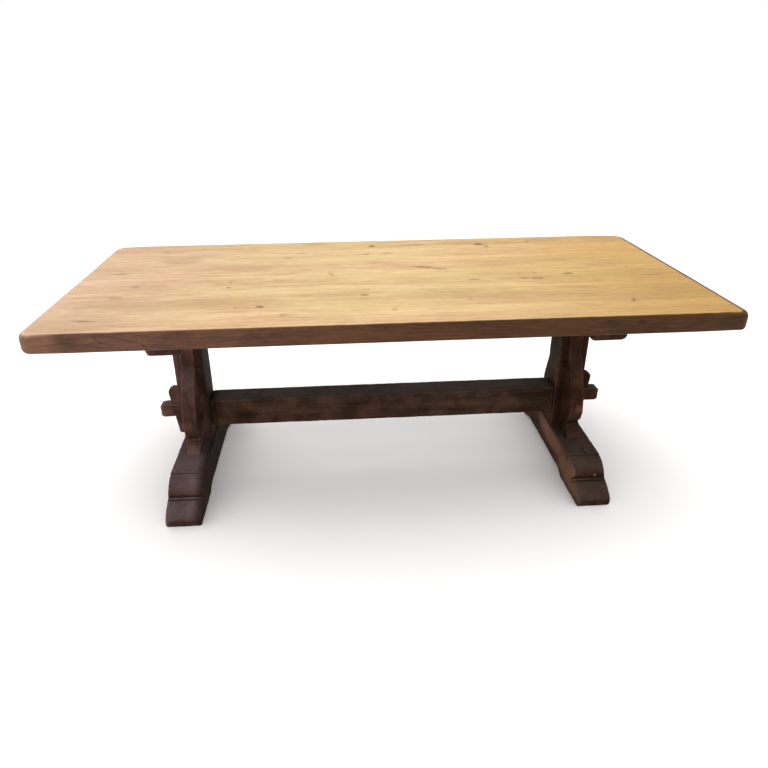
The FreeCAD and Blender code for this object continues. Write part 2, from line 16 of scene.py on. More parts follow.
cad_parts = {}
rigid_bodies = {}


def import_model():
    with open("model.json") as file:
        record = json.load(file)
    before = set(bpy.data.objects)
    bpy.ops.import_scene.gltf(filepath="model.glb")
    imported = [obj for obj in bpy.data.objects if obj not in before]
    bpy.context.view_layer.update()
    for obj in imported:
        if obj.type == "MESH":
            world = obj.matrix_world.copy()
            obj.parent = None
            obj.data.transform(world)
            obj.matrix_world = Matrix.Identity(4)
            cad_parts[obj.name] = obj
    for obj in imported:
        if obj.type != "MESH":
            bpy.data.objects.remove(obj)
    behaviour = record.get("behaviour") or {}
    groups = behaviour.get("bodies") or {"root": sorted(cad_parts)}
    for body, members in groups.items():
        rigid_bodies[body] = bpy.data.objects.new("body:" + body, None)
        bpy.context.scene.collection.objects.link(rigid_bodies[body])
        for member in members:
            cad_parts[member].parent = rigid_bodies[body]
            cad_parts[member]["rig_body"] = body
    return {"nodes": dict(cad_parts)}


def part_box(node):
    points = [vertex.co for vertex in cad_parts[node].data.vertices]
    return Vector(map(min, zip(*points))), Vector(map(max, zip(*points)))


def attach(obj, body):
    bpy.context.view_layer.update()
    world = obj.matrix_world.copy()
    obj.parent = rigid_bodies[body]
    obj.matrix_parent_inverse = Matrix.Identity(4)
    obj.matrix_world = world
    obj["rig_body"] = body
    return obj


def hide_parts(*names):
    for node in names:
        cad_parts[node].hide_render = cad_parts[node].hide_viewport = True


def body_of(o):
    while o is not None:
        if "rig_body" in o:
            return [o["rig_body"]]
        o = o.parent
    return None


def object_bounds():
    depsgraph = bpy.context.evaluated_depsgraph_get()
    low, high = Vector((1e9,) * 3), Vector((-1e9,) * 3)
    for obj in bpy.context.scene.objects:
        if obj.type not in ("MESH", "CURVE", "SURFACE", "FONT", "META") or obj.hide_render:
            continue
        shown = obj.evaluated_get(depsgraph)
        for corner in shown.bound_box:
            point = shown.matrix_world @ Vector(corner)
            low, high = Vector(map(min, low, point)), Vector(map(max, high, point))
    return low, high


MM = 0.001
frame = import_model()
nodes = frame["nodes"]
cad_low, cad_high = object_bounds()
print("loaded", len(nodes), "pieces, outer size", [round(v, 3) for v in cad_high - cad_low])

# %% [markdown]
# ## Camera
# The photograph was taken by someone standing in front of the table, a little to the left of its
# middle and about head height, looking down at it. Its place was worked out from the table's own
# converging edges. From its turn, tilt and roll we first work out which way is right, up and
# forward, and build its matrix from those three directions, which can be checked one by one.

# %% Set the camera where the photographer stood
PHOTO_WIDTH = 768
FOCAL_PIXELS = 589.0
PHOTO_CENTRE = (373.1, 324.9)
CAMERA_PLACE = Vector((-0.1655, -2.0252, 1.4569))
CAMERA_TURN = 0.0620
CAMERA_TILT = 0.4124
CAMERA_ROLL = -0.0075


def photographer():
    """The camera, with the tilt, turn and small roll of the photograph."""
    forward = Vector((sin(CAMERA_TURN) * cos(CAMERA_TILT), cos(CAMERA_TURN) * cos(CAMERA_TILT),
                      -sin(CAMERA_TILT)))
    right = Vector((cos(CAMERA_TURN), -sin(CAMERA_TURN), 0))
    up = right.cross(forward)
    rolled_right = cos(CAMERA_ROLL) * right + sin(CAMERA_ROLL) * up
    rolled_up = cos(CAMERA_ROLL) * up - sin(CAMERA_ROLL) * right
    lens = bpy.data.cameras.new("photographer")
    lens.lens = FOCAL_PIXELS / PHOTO_WIDTH * lens.sensor_width
    lens.shift_x = (PHOTO_WIDTH / 2 - PHOTO_CENTRE[0]) / PHOTO_WIDTH
    lens.shift_y = (PHOTO_CENTRE[1] - PHOTO_WIDTH / 2) / PHOTO_WIDTH
    camera = bpy.data.objects.new("photographer", lens)
    bpy.context.collection.objects.link(camera)
    turn = Matrix((rolled_right, rolled_up, -forward)).transposed()
    camera.matrix_world = Matrix.Translation(CAMERA_PLACE) @ turn.to_4x4()
    bpy.context.scene.camera = camera
    return camera


camera = photographer()
print("camera at", tuple(round(v, 2) for v in camera.location), "lens", round(camera.data.lens, 1))

# %% [markdown]
# ## Writing node trees as sums
# Wood finishes and worn edges are both made of node trees, and a tree is easier to read when it
# is written as plain arithmetic. The two small classes below let us write `a * 2 + b` for nodes:
# a `Value` is one output socket, and `Wires` adds the nodes. The same helper serves materials and
# Geometry Nodes, because both kinds of tree share their maths, noise and vector nodes.

# %% A small language for node trees
TINY = 1e-7


class Value:
    """One output of a node, which can be added, multiplied and so on like a number."""

    def __init__(self, wires, socket):
        self.wires = wires
        self.socket = socket

    def __add__(self, other):
        return self.wires.sum("ADD", self, other)

    def __sub__(self, other):
        return self.wires.sum("SUBTRACT", self, other)

    def __rsub__(self, other):
        return self.wires.sum("SUBTRACT", other, self)

    def __mul__(self, other):
        return self.wires.sum("MULTIPLY", self, other)

    def __truediv__(self, other):
        return self.wires.sum("DIVIDE", self, other)

    __radd__ = __add__
    __rmul__ = __mul__


def is_vector(value):
    """True for a vector socket or a tuple of three numbers."""
    if isinstance(value, Value):
        return value.socket.type in ("VECTOR", "RGBA")
    return isinstance(value, (tuple, Vector))


class Wires:
    """Adds nodes to one tree and links them."""

    def __init__(self, tree):
        self.tree = tree

    def node(self, kind, feeds=None, **settings):
        """A node with its settings, and its inputs fed with numbers or values."""
        made = self.tree.nodes.new(kind)
        for name, value in settings.items():
            setattr(made, name, value)
        for name, value in (feeds or {}).items():
            if isinstance(name, int):
                socket = made.inputs[name]
            else:
                socket = next(s for s in made.inputs if s.name == name and s.enabled)
            if isinstance(value, Value):
                self.tree.links.new(value.socket, socket)
            else:
                socket.default_value = value
        return made

    def value(self, kind, feeds=None, out=0, **settings):
        """The same, but returns one of the node's outputs."""
        made = self.node(kind, feeds, **settings)
        if isinstance(out, int):
            return Value(self, [s for s in made.outputs if s.enabled][out])
        return Value(self, next(s for s in made.outputs if s.name == out and s.enabled))

    def sum(self, operation, *terms):
        """One maths node, for numbers or for vectors as the terms ask."""
        kind = "ShaderNodeVectorMath" if any(is_vector(t) for t in terms) else "ShaderNodeMath"
        if kind == "ShaderNodeVectorMath":
            terms = [t if isinstance(t, Value) or is_vector(t) else (t, t, t) for t in terms]
        return self.value(kind, dict(enumerate(terms)), operation=operation)

    def smallest(self, a, b):
        return self.sum("MINIMUM", a, b)

    def largest(self, a, b):
        return self.sum("MAXIMUM", a, b)

    def sign(self, value):
        return self.sum("SIGN", value)

    def is_over(self, value, limit=0.0):
        """1 where a value is over a limit, and 0 elsewhere."""
        return self.sum("GREATER_THAN", value, limit)

    def size(self, value):
        """Absolute size of a number, or length of a vector."""
        if is_vector(value):
            return self.value("ShaderNodeVectorMath", {0: value}, "Value", operation="LENGTH")
        return self.sum("ABSOLUTE", value)

    def dot(self, a, b):
        return self.value("ShaderNodeVectorMath", {0: a, 1: b}, "Value", operation="DOT_PRODUCT")

    def split(self, vector):
        made = self.node("ShaderNodeSeparateXYZ", {0: vector})
        return [Value(self, socket) for socket in made.outputs]

    def join(self, x, y, z):
        return self.value("ShaderNodeCombineXYZ", {0: x, 1: y, 2: z})

    def ramp(self, value, low, high, to_low=0.0, to_high=1.0, soft=True):
        """value from low to high, turned into to_low to to_high and held there."""
        shape = "SMOOTHSTEP" if soft else "LINEAR"
        feeds = {"Value": value, "From Min": low, "From Max": high,
                 "To Min": to_low, "To Max": to_high}
        return self.value("ShaderNodeMapRange", feeds, interpolation_type=shape, clamp=True)

    def together(self, *parts):
        """Several pieces of geometry as one."""
        made = self.node("GeometryNodeJoinGeometry")
        for part in parts:
            self.tree.links.new(part.socket, made.inputs["Geometry"])
        return Value(self, made.outputs["Geometry"])

    def noise(self, vector, scale=1.0, detail=2.0, roughness=0.5):
        """Soft random tone, mostly between 0.3 and 0.7."""
        feeds = {"Vector": vector, "Scale": scale, "Detail": detail, "Roughness": roughness}
        return self.value("ShaderNodeTexNoise", feeds)

    def blend(self, share, a, b):
        """From colour a to colour b as share goes from 0 to 1."""
        feeds = {"Factor": share, "A": a, "B": b}
        return self.value("ShaderNodeMix", feeds, data_type="RGBA")

    def attribute(self, name, out="Fac"):
        return self.value("ShaderNodeAttribute", None, out, attribute_name=name)

    def place(self):
        """Where a point of a surface lies, in metres."""
        return self.value("ShaderNodeTexCoord", None, "Object")


def new_material(name):
    """A material with its wires and its surface shader."""
    material = bpy.data.materials.new(name)
    material.use_nodes = True
    surface = material.node_tree.nodes["Principled BSDF"]
    return material, Wires(material.node_tree), surface


print("node helpers ready")

# %% [markdown]
# ## The room
# A plain pale floor and soft light from a white room, as in a catalogue picture. One large soft
# light stands over the table, and a second one comes from the left, where the photograph shows a
# cooler sheen on the boards.

# %% Floor, white room and soft lights
FLOOR_REACH = 30
FLOOR_TONE = (0.98, 0.98, 0.975, 1)
FLOOR_ROUGHNESS = 0.9
ROOM_STRENGTH = 1.25
# Each light: its place, the point that it faces, its width, its power in watts and its colour.
LIGHTS = {
    "overhead": ((-0.3, 0.3, 3.4), (0, 0, 0.7), 3.6, 30, (1, 0.98, 0.95)),
    "window": ((-3.2, 2.2, 2.4), (-0.5, 0, 0.6), 2.4, 30, (1, 0.95, 0.96)),
}


def pale_floor(reach):
    """A wide floor just under the feet."""
    mesh = bpy.data.meshes.new("studio_floor")
    corners = [(-reach, -reach, 0), (reach, -reach, 0), (reach, reach, 0), (-reach, reach, 0)]
    mesh.from_pydata(corners, [], [(0, 1, 2, 3)])
    floor = bpy.data.objects.new("studio_floor", mesh)
    bpy.context.collection.objects.link(floor)
    material, _, surface = new_material("studio_floor")
    surface.inputs["Base Color"].default_value = FLOOR_TONE
    surface.inputs["Roughness"].default_value = FLOOR_ROUGHNESS
    mesh.materials.append(material)


def soft_light(name, place, aim, width, power, colour):
    """A square light that faces a point."""
    lamp = bpy.data.lights.new(name, "AREA")
    lamp.size = width
    lamp.energy = power
    lamp.color = colour
    light = bpy.data.objects.new(name, lamp)
    light.location = place
    light.rotation_euler = (Vector(aim) - Vector(place)).to_track_quat("-Z", "Y").to_euler()
    bpy.context.collection.objects.link(light)


def white_room(strength):
    """White walls to the eye, which give the table a stronger share of light."""
    room = bpy.data.worlds.new("white_room")
    room.use_nodes = True
    wires = Wires(room.node_tree)
    seen = wires.value("ShaderNodeLightPath", None, "Is Camera Ray")
    sky = room.node_tree.nodes["Background"]
    sky.inputs["Color"].default_value = (1, 1, 1, 1)
    power = seen * (1.0 - strength) + strength
    room.node_tree.links.new(power.socket, sky.inputs["Strength"])
    bpy.context.scene.world = room


pale_floor(FLOOR_REACH)
white_room(ROOM_STRENGTH)
for name, facts in LIGHTS.items():
    soft_light(name, *facts)
bpy.context.scene.view_settings.view_transform = "Standard"
print("room ready, with", len(LIGHTS), "lights")

# %% [markdown]
# ## How wood is drawn
# A plank is a slice of a tree, so its pattern is really a solid one: rings round a pith that runs
# nearly along the plank, bent by slow drifts. Where the saw cuts them at a low angle they show as
# tall arches, and at the plank's end as curved bands, without any further work. Over the rings
# lie fine fibres and short dark pores. The functions below work on coordinates whose first
# number runs along the grain, so that every piece can use them whichever way its grain lies.
# Each tone has a name, and a colour or a bump is a sum of such tones, each with its own share.

# %% Rings, fibres and pores of a plank
PITH_DEPTH = 55 * MM
# How far the slow and the quick bends of the tree move its pith: to the side, and in depth.
SLOW_BEND = (120 * MM, 90 * MM)
QUICK_BEND = (10 * MM, 5 * MM)


def grain_noise(wires, grain, along, across, detail, roughness=0.5):
    """Soft random tone drawn out along the grain, with its two scales per metre."""
    return wires.noise(grain * (along, across, across), detail=detail, roughness=roughness)


def wood_tones(wires, grain, ring_gap, parting=0.0):
    """Tones from 0 to 1 for a plank's rings, fibres and pores; rings part round knots."""
    _, across, deep = wires.split(grain)
    slow = grain_noise(wires, grain, 0.9, 5, detail=2) - 0.5
    quick = grain_noise(wires, grain, 2.4, 26, detail=3) - 0.5
    side = slow * SLOW_BEND[0] + quick * QUICK_BEND[0] + parting
    depth = slow * SLOW_BEND[1] + quick * QUICK_BEND[1] + PITH_DEPTH
    radius = wires.size(wires.join(0.0, across + side, deep + depth))
    rings = wires.sum("FRACT", radius / ring_gap)
    fibre = grain_noise(wires, grain, 7, 420, detail=2)
    pore = grain_noise(wires, grain, 30, 900, detail=1)
    return {
        "ring": wires.ramp(rings, 0.1, 0.95) - wires.ramp(rings, 0.93, 1.0),
        "fibre": wires.ramp(fibre, 0.3, 0.7),
        "pore": wires.ramp(pore, 0.62, 0.74),
        "cloud": wires.ramp(slow, -0.2, 0.2),
        "streak": wires.ramp(quick, -0.22, 0.22),
    }


def weighed(tones, start=0.0, **shares):
    """A number plus each named tone times its share."""
    total = start
    for name, share in shares.items():
        total = tones[name] * share + total
    return total


def strongest(wires, spots, drawn, place, softness=0.0):
    """The strongest at a place of several marks or patches that one function draws."""
    result = 0.0
    for spot in spots:
        result = wires.largest(drawn(wires, place, spot, softness), result)
    return result


def layered(wires, colour, *layers):
    """A colour with others laid over it, each by its own share."""
    for share, over in layers:
        colour = wires.blend(share, colour, over)
    return colour


def finish_surface(wires, surface, colour, roughness, height, depth, specular=0.5):
    """Feeds the shader its colour, its gloss and a bump of the given depth in metres."""
    bump = wires.value("ShaderNodeBump", {"Strength": 1.0, "Distance": depth, "Height": height})
    for name, value in (("Base Color", colour), ("Roughness", roughness), ("Normal", bump)):
        wires.tree.links.new(value.socket, surface.inputs[name])
    surface.inputs["Specular IOR Level"].default_value = specular


print("wood pattern ready")

# %% [markdown]
# ## Waxed oak for the top
# The top is pale oak under old wax. Its boards differ a little in tone, and across each board
# broad paler and darker bands run the whole length. Knots, small cracks and darker clouds break
# the grain, and round each knot the lines of the grain part like water round a stone. The marks
# sit where the photograph shows them. The edges of the top are stained a dark brown, which has
# crept over the arris at the ends, and the same dark colour paints the shade on the sides, the
# ends and the underside; the edges have scars of their own. At the ends the saw has cut through
# the rings, so there they show as bands. The light in the photograph is cool on the left and warm
# on the right. The wood gets that drift as painted tints, because coloured lamps would tint the
# white floor as well.

# %% Marks on the table top
# Each mark: place along and across the table, half length and half width, all in mm, then its
# turn in radians and its strength. Hard knots and cracks come first, and then soft clouds.
KNOTS = [
    (-412.5, -287.5, 14, 10, -0.5, 1), (-81, -210, 14, 10, 0.2, 0.75),
    (662.5, -50, 20, 9, 0.1, 0.9), (537.5, -94, 28, 9, -0.1, 0.85), (487.5, -87.5, 22, 8, 0, 0.7),
    (312.5, -87.5, 18, 9, 0.1, 0.6), (160, 65, 45, 12, -0.35, 0.75), (215, 40, 30, 7, -0.2, 0.7),
    (-19, 362.5, 14, 16, 0, 0.9), (431, 356, 20, 20, 0.2, 0.95), (455, 325, 12, 18, 0.3, 0.7),
    (535, 364, 40, 5, 0, 0.6), (156, 372.5, 70, 8, 0, 0.55), (-306, 284, 28, 8, 0.25, 0.6),
    (-359, 225, 20, 10, 0, 0.55), (-50, 250, 16, 14, 0, 0.55), (35, 256, 26, 12, 0, 0.5),
    (-541, -100, 8, 7, 0, 0.8), (-541, -44, 12, 8, 0.3, 0.5), (-860, -69, 14, 12, 0, 0.6),
    (-187.5, 12.5, 7, 22, 0.5, 0.6), (775, -322.5, 8, 18, -0.3, 0.8), (905, 6, 10, 12, 0.2, 0.5),
    (962.5, -87.5, 45, 6, 0, 0.55), (-856, 344, 24, 10, 0, 0.5),
    (-337.5, -362.5, 13, 8, 0.5, 0.55), (545, -30, 6, 12, 0.2, 0.6), (-955, 78, 30, 7, 0.1, 0.6),
    (-925, -362.5, 40, 6, -0.15, 0.7), (6, -345, 10, 12, 0.4, 0.45),
    (-887.5, -175, 30, 15, -0.2, 0.4), (256, -275, 10, 12, 0, 0.35), (640, 372, 14, 12, 0, 0.6),
    (-490, -290, 10, 8, 0, 0.4),
]
CLOUDS = [
    (-769, 225, 85, 55, 0, 0.55), (-519, 112.5, 140, 35, -0.05, 0.5), (850, 50, 120, 30, 0, 0.45),
    (519, 150, 70, 20, 0, 0.35), (-256, 419, 50, 30, 0, 0.5), (725, 400, 90, 40, 0, 0.4),
    (-970, -390, 170, 70, 0.1, 0.6), (480, -75, 120, 30, 0, 0.3), (150, 70, 130, 28, -0.2, 0.3),
    (-400, -280, 100, 30, 0, 0.25), (340, 385, 120, 30, 0, 0.4), (-700, -240, 250, 35, 0, 0.3),
    (250, -240, 300, 30, 0, 0.25), (-820, -80, 120, 40, 0, 0.3), (950, 380, 120, 50, 0, 0.35),
    (780, -300, 100, 50, 0, 0.2),
]
# The front edge has dark scars: place along it and above the floor, and then as before.
SCARS = [
    (-945, 745, 45, 16, 0, 0.6), (-862, 749, 26, 4, -0.76, 0.8), (-840, 757, 40, 8, -0.2, 0.55),
    (-785, 743, 45, 3.5, -0.215, 0.8), (-733, 723, 14, 4, -0.9, 0.8), (655, 745, 30, 12, 0, 0.4),
    (745, 745, 16, 10, 0, 0.7), (935, 742, 30, 14, 0, 0.4), (1030, 745, 45, 20, 0, 0.45),
]
# Tone of the boards from the front of the table to the back: place across in mm, and darkness.
BANDS = [
    (-450, 0.25), (-400, 0.3), (-385, 0.1), (-330, 0.05), (-310, 0.4), (-250, 0.55), (-190, 0.45),
    (-155, 0.02), (-130, 0.1), (-100, 0.45), (-50, 0.4), (0, 0.15), (20, 0.05), (60, 0.4),
    (120, 0.45), (165, 0.15), (240, 0.3), (285, 0.12), (320, 0.2), (360, 0.6), (420, 0.55),
    (450, 0.35),
]
print(len(KNOTS), "knots,", len(CLOUDS), "clouds and", len(SCARS), "scars on the top")

# %% Colours of the top
PALE_OAK = (0.635, 0.462, 0.240, 1)
DEEP_OAK = (0.385, 0.230, 0.096, 1)
KNOT_BROWN = (0.170, 0.075, 0.030, 1)
CLOUD_BROWN = (0.320, 0.175, 0.085, 1)
ARRIS_PALE = (0.620, 0.470, 0.290)
# The edge colours hold the dark stain and painted shade together, for the sides, ends and
# underside.
EDGE_BROWN = (0.115, 0.048, 0.0175, 1)
EDGE_DARK = (0.058, 0.023, 0.011, 1)
EDGE_RUBBED = (0.220, 0.115, 0.060, 1)
END_BROWN = (0.090, 0.047, 0.026, 1)
END_DARK = (0.036, 0.018, 0.010, 1)
# Tints, by which a colour is multiplied: first for the faces of the boards, then for the edges.
# They paint the drift of the light from left to right; the last one is a painted highlight near
# the left end.
NO_TINT = (1, 1, 1, 1)
PINK_TINT = (1.02, 0.965, 0.99, 1)
YELLOW_TINT = (0.985, 1.035, 0.95, 1)
LEFT_TINT = (0.90, 0.86, 1.02, 1)
MIDDLE_TINT = (1.02, 1.02, 1.00, 1)
RIGHT_FRONT_TINT = (0.765, 0.620, 0.300, 1)
RIGHT_BACK_TINT = (0.890, 0.745, 0.395, 1)
LEFT_EDGE_TINT = (1.29, 1.42, 2.10, 1)
RIGHT_EDGE_TINT = (0.60, 0.55, 0.27, 1)
MIDDLE_EDGE_TINT = (0.90, 0.83, 0.72, 1)
LEFT_CORNER_TINT = (1.36, 1.42, 1.40, 1)
print("pale oak", PALE_OAK[:3], "and dark edges", EDGE_DARK[:3])

# %% Knots, bands and flecks in the boards
HALF_LENGTH = cad_high.x
HALF_WIDTH = cad_high.y
TOP_THICKNESS = 64 * MM
HEART_HEIGHT = cad_high.z - TOP_THICKNESS / 2
# Each board was cut a little further from the heart, and elsewhere in the tree.
MIDDLE_BOARD = 3.5
HEART_STEP = 13 * MM
BOARD_SHIFT = (3.71, 1.37)
TOP_RING_GAP = 11 * MM
# A strong knot moves the grain aside, as far out as this many times its own size.
STRONG_KNOT = 0.6
KNOT_REACH = 4
KNOT_PUSH = 0.45
# How far the rims of knots and scars wander, along and across, and the bands across.
KNOT_WANDER = (0.035, 0.016, 0)
SCAR_WANDER = (0.02, 0.008, 0)
BAND_WANDER = 0.07


def mark(wires, place, spot, softness):
    """Darkness of one mark: full at its middle, gone a little outside its rim."""
    x, y, half_length, half_width = (number * MM for number in spot[:4])
    turn, strength = spot[4:]
    offset = place - (x, y, 0)
    along = wires.dot(offset, (cos(turn) / half_length, sin(turn) / half_length, 0))
    across = wires.dot(offset, (-sin(turn) / half_width, cos(turn) / half_width, 0))
    return wires.ramp(along * along + across * across, 1.6, softness, 0.0, strength)


def knot_parting(wires, place, y):
    """How far the strong knots move the grain aside."""
    result = 0.0
    for x_knot, y_knot, half_length, half_width, _, strength in KNOTS:
        if strength >= STRONG_KNOT:
            wide = (half_length * KNOT_REACH, half_width * KNOT_REACH)
            near = mark(wires, place, (x_knot, y_knot, *wide, 0, strength), 0.0)
            result = near * (y - y_knot * MM) * -KNOT_PUSH + result
    return result


def band_tone(wires, x, y):
    """Darkness of the broad bands, which wander a little along the table."""
    bands = wires.node("ShaderNodeValToRGB")
    wobble = wires.noise(wires.join(x * 2.5, y * 8, 0.0), detail=2) - 0.5
    share = (y + wobble * BAND_WANDER + HALF_WIDTH) / (2 * HALF_WIDTH)
    wires.tree.links.new(share.socket, bands.inputs[0])
    stops = bands.color_ramp.elements
    for index, (y_band, dark) in enumerate(BANDS):
        stop_place = (y_band * MM + HALF_WIDTH) / (2 * HALF_WIDTH)
        stop = stops[index] if index < 2 else stops.new(stop_place)
        stop.position = stop_place
        stop.color = (dark, dark, dark, 1)
    return Value(wires, bands.outputs[0])


def top_tones(wires, x, y, z):
    """All tones of the top's wood, by name."""
    board = wires.attribute("board")
    flat_place = wires.join(x, y, 0.0)
    ragged = wires.noise(flat_place, scale=26, detail=3) - 0.5
    worn_place = flat_place + ragged * KNOT_WANDER
    along = x + board * BOARD_SHIFT[0]
    from_heart = wires.attribute("across") + (board - MIDDLE_BOARD) * HEART_STEP
    grain = wires.join(along, from_heart, z - HEART_HEIGHT)
    in_tree = wires.join(along, y + board * BOARD_SHIFT[1], z)
    tones = wood_tones(wires, grain, TOP_RING_GAP, knot_parting(wires, flat_place, y))
    return {
        **tones,
        "ragged": ragged,
        "mottle": grain_noise(wires, in_tree, 5, 29, detail=3),
        "fleck": grain_noise(wires, in_tree, 19, 165, detail=3, roughness=0.65),
        "bands": band_tone(wires, x, y),
        "knots": strongest(wires, KNOTS, mark, worn_place, 0.1),
        "clouds": strongest(wires, CLOUDS, mark, worn_place),
    }


print("top:", round(2 * HALF_LENGTH, 3), "by", round(2 * HALF_WIDTH, 3), "m")

# %% Waxed oak material
# Stretches in which one colour gives way to the next: distances from an end or from the front,
# and, where there are four numbers, the strength at the start and at the end of the stretch.
END_GRAIN = (18 * MM, 6 * MM)
# How far the dark stain and painted shade reach over the arris at each end.
RIGHT_END_STAIN_AND_SHADE = (40 * MM, 20 * MM, 0.0, 0.85)
LEFT_END_STAIN_AND_SHADE = (34 * MM, 14 * MM, 0.0, 0.40)
# The front left corner, where the stain and shade give way, and the stretch near the left end
# where the edges are lightened: both a painted highlight where the light wraps round the corner.
LIT_CORNER = (100 * MM, 30 * MM)
PALE_CORNER = (140 * MM, 90 * MM)
CORNER_HIGHLIGHT = 0.14
SCAR_DEPTH = 0.5
TOP_BUMP = 0.25 * MM
TOP_SPECULAR = 0.12


def face_colour(wires, tones, x, y):
    """Pale waxed wood with its bands, clouds, cracks and knots."""
    dark = weighed(tones, -1.46, bands=0.65, mottle=1.2, fleck=1.6, ring=0.20, streak=0.16,
                   fibre=0.05)
    colour = wires.blend(wires.ramp(dark, -0.3, 1.0, soft=False), PALE_OAK, DEEP_OAK)
    colour = colour * wires.blend(tones["cloud"], YELLOW_TINT, PINK_TINT)
    tint = wires.blend(wires.ramp(x, -HALF_LENGTH, 0.0), LEFT_TINT, MIDDLE_TINT)
    right_tint = wires.blend(wires.ramp(y, -0.30, 0.25), RIGHT_FRONT_TINT, RIGHT_BACK_TINT)
    tint = wires.blend(wires.ramp(x, 0.0, HALF_LENGTH), tint, right_tint)
    cracks = wires.ramp(weighed(tones, fleck=0.7, mottle=0.3), 0.61, 0.70, 0.0, 0.45)
    knots = tones["knots"]
    core = knots * (knots * 0.6 + 0.35) * (tones["fibre"] * 0.3 + 0.8)
    worn = wires.ramp(wires.attribute("rim"), 0.02, 0.3, 0.0, 0.5)
    return layered(
        wires, colour * tint, (tones["clouds"] * 0.75, CLOUD_BROWN),
        (wires.largest(tones["pore"] * 0.16, cracks), KNOT_BROWN), (knots * 0.45, CLOUD_BROWN),
        (core, KNOT_BROWN), (wires.attribute("seam") * 0.25, KNOT_BROWN),
        (worn, tint * ARRIS_PALE))


def edge_colour(wires, tones, x, y, z):
    """Dark stain and painted shade, with scars along the sides, and the cut rings at the two ends.
    """
    tone = wires.ramp(weighed(tones, mottle=0.4, fleck=0.6, streak=0.1), 0.40, 0.70)
    colour = layered(
        wires, EDGE_BROWN, (tone, EDGE_DARK), (weighed(tones, fibre=0.2, ring=0.2), EDGE_DARK),
        (wires.attribute("rubbed") * 0.5, EDGE_RUBBED))
    # Painted light on the edges: the drift from left to right, and a painted highlight near the
    # left end.
    for share, *tints in (
            (wires.ramp(x, -HALF_LENGTH, HALF_LENGTH), LEFT_EDGE_TINT, RIGHT_EDGE_TINT),
            (wires.ramp(wires.size(x), 0.1, 0.8), MIDDLE_EDGE_TINT, NO_TINT),
            (wires.ramp(x + HALF_LENGTH, *PALE_CORNER), NO_TINT, LEFT_CORNER_TINT)):
        colour = colour * wires.blend(share, *tints)
    edge_place = wires.join(x, z, 0.0) + tones["ragged"] * SCAR_WANDER
    scars = strongest(wires, SCARS, mark, edge_place) * wires.ramp(y, 0.0, -0.2)
    colour = colour * (1.0 - scars * SCAR_DEPTH)
    end_tone = weighed(tones, -0.1, ring=0.45, fibre=0.2, mottle=0.5)
    end_colour = wires.blend(end_tone, END_BROWN, END_DARK)
    return wires.blend(wires.ramp(HALF_LENGTH - wires.size(x), *END_GRAIN), colour, end_colour)


def stain_and_shade_share(wires, tones, x, y):
    """1 where the dark stain and painted shade cover the wood, 0 on the bare faces."""
    from_left = x + HALF_LENGTH
    # Painted highlight: the stain and shade give way round the front left corner.
    corner = wires.ramp(from_left, *LIT_CORNER) * wires.ramp(y + HALF_WIDTH, *LIT_CORNER)
    at_right = wires.ramp(HALF_LENGTH - x, *RIGHT_END_STAIN_AND_SHADE)
    at_left = wires.ramp(from_left, *LEFT_END_STAIN_AND_SHADE) * (1.0 - corner) - corner * CORNER_HIGHLIGHT
    reach = wires.attribute("rim") + tones["ragged"] * 0.5 + at_right + at_left
    return wires.ramp(reach, 0.30, 0.80)


def waxed_oak():
    material, wires, surface = new_material("waxed_oak")
    x, y, z = wires.split(wires.place())
    tones = top_tones(wires, x, y, z)
    face = face_colour(wires, tones, x, y)
    edge = edge_colour(wires, tones, x, y, z)
    colour = wires.blend(stain_and_shade_share(wires, tones, x, y), face, edge)
    roughness = weighed(tones, 0.40, fibre=0.10, ragged=0.15, knots=0.1)
    height = weighed(tones, fibre=0.4, pore=-0.6)
    finish_surface(wires, surface, colour, roughness, height, TOP_BUMP, TOP_SPECULAR)
    return material


top_oak = waxed_oak()
print("waxed oak:", len(top_oak.node_tree.nodes), "nodes")

# %% [markdown]
# ## Stained oak for the base
# The trestles and the stretcher are the same oak, stained nearly black-brown and waxed. Hands,
# shoes and chairs have rubbed the stain thin along the arrises and over a few larger patches,
# where red-brown wood shows through, and dust and scuffs, with a painted sheen, grey the faces
# that look up. Our beams carry values on their surface for this: how worn a spot is, how near an
# edge it lies, how deep in a corner, where dirt and painted shade darken it, and how much it looks
# up. The larger patches have places of their own, read from the photograph, and are drawn as soft
# egg shapes in space; the dark ones are mostly painted shade. The left trestle is painted paler
# and cooler than the right one, as painted light falling from the left, which is a tint again.

# %% Patches on the base
# Each patch: its middle and its half sizes along the three axes in mm, and its strength.
RUBBED_PATCHES = [
    (664, -300, 70, 22, 200, 90, 1.6), (664, -100, 100, 18, 240, 70, 1.5),
    (-727, -165, 150, 40, 20, 45, 0.6), (-730, -150, 252, 32, 30, 30, 0.25),
    (738, -150, 255, 28, 30, 30, 0.7), (-709, -115, 462, 30, 30, 30, 0.5),
    (-860, 0, 240, 60, 60, 60, 0.75), (860, 0, 240, 60, 60, 60, 0.3),
    (-758, -380, 85, 35, 45, 30, 0.4), (-780, -55, 420, 20, 20, 110, 0.4),
    (720, -230, 128, 50, 35, 20, 0.4), (300, -45, 240, 250, 20, 30, 0.3),
    (-330, -45, 230, 200, 20, 25, 0.25),
]
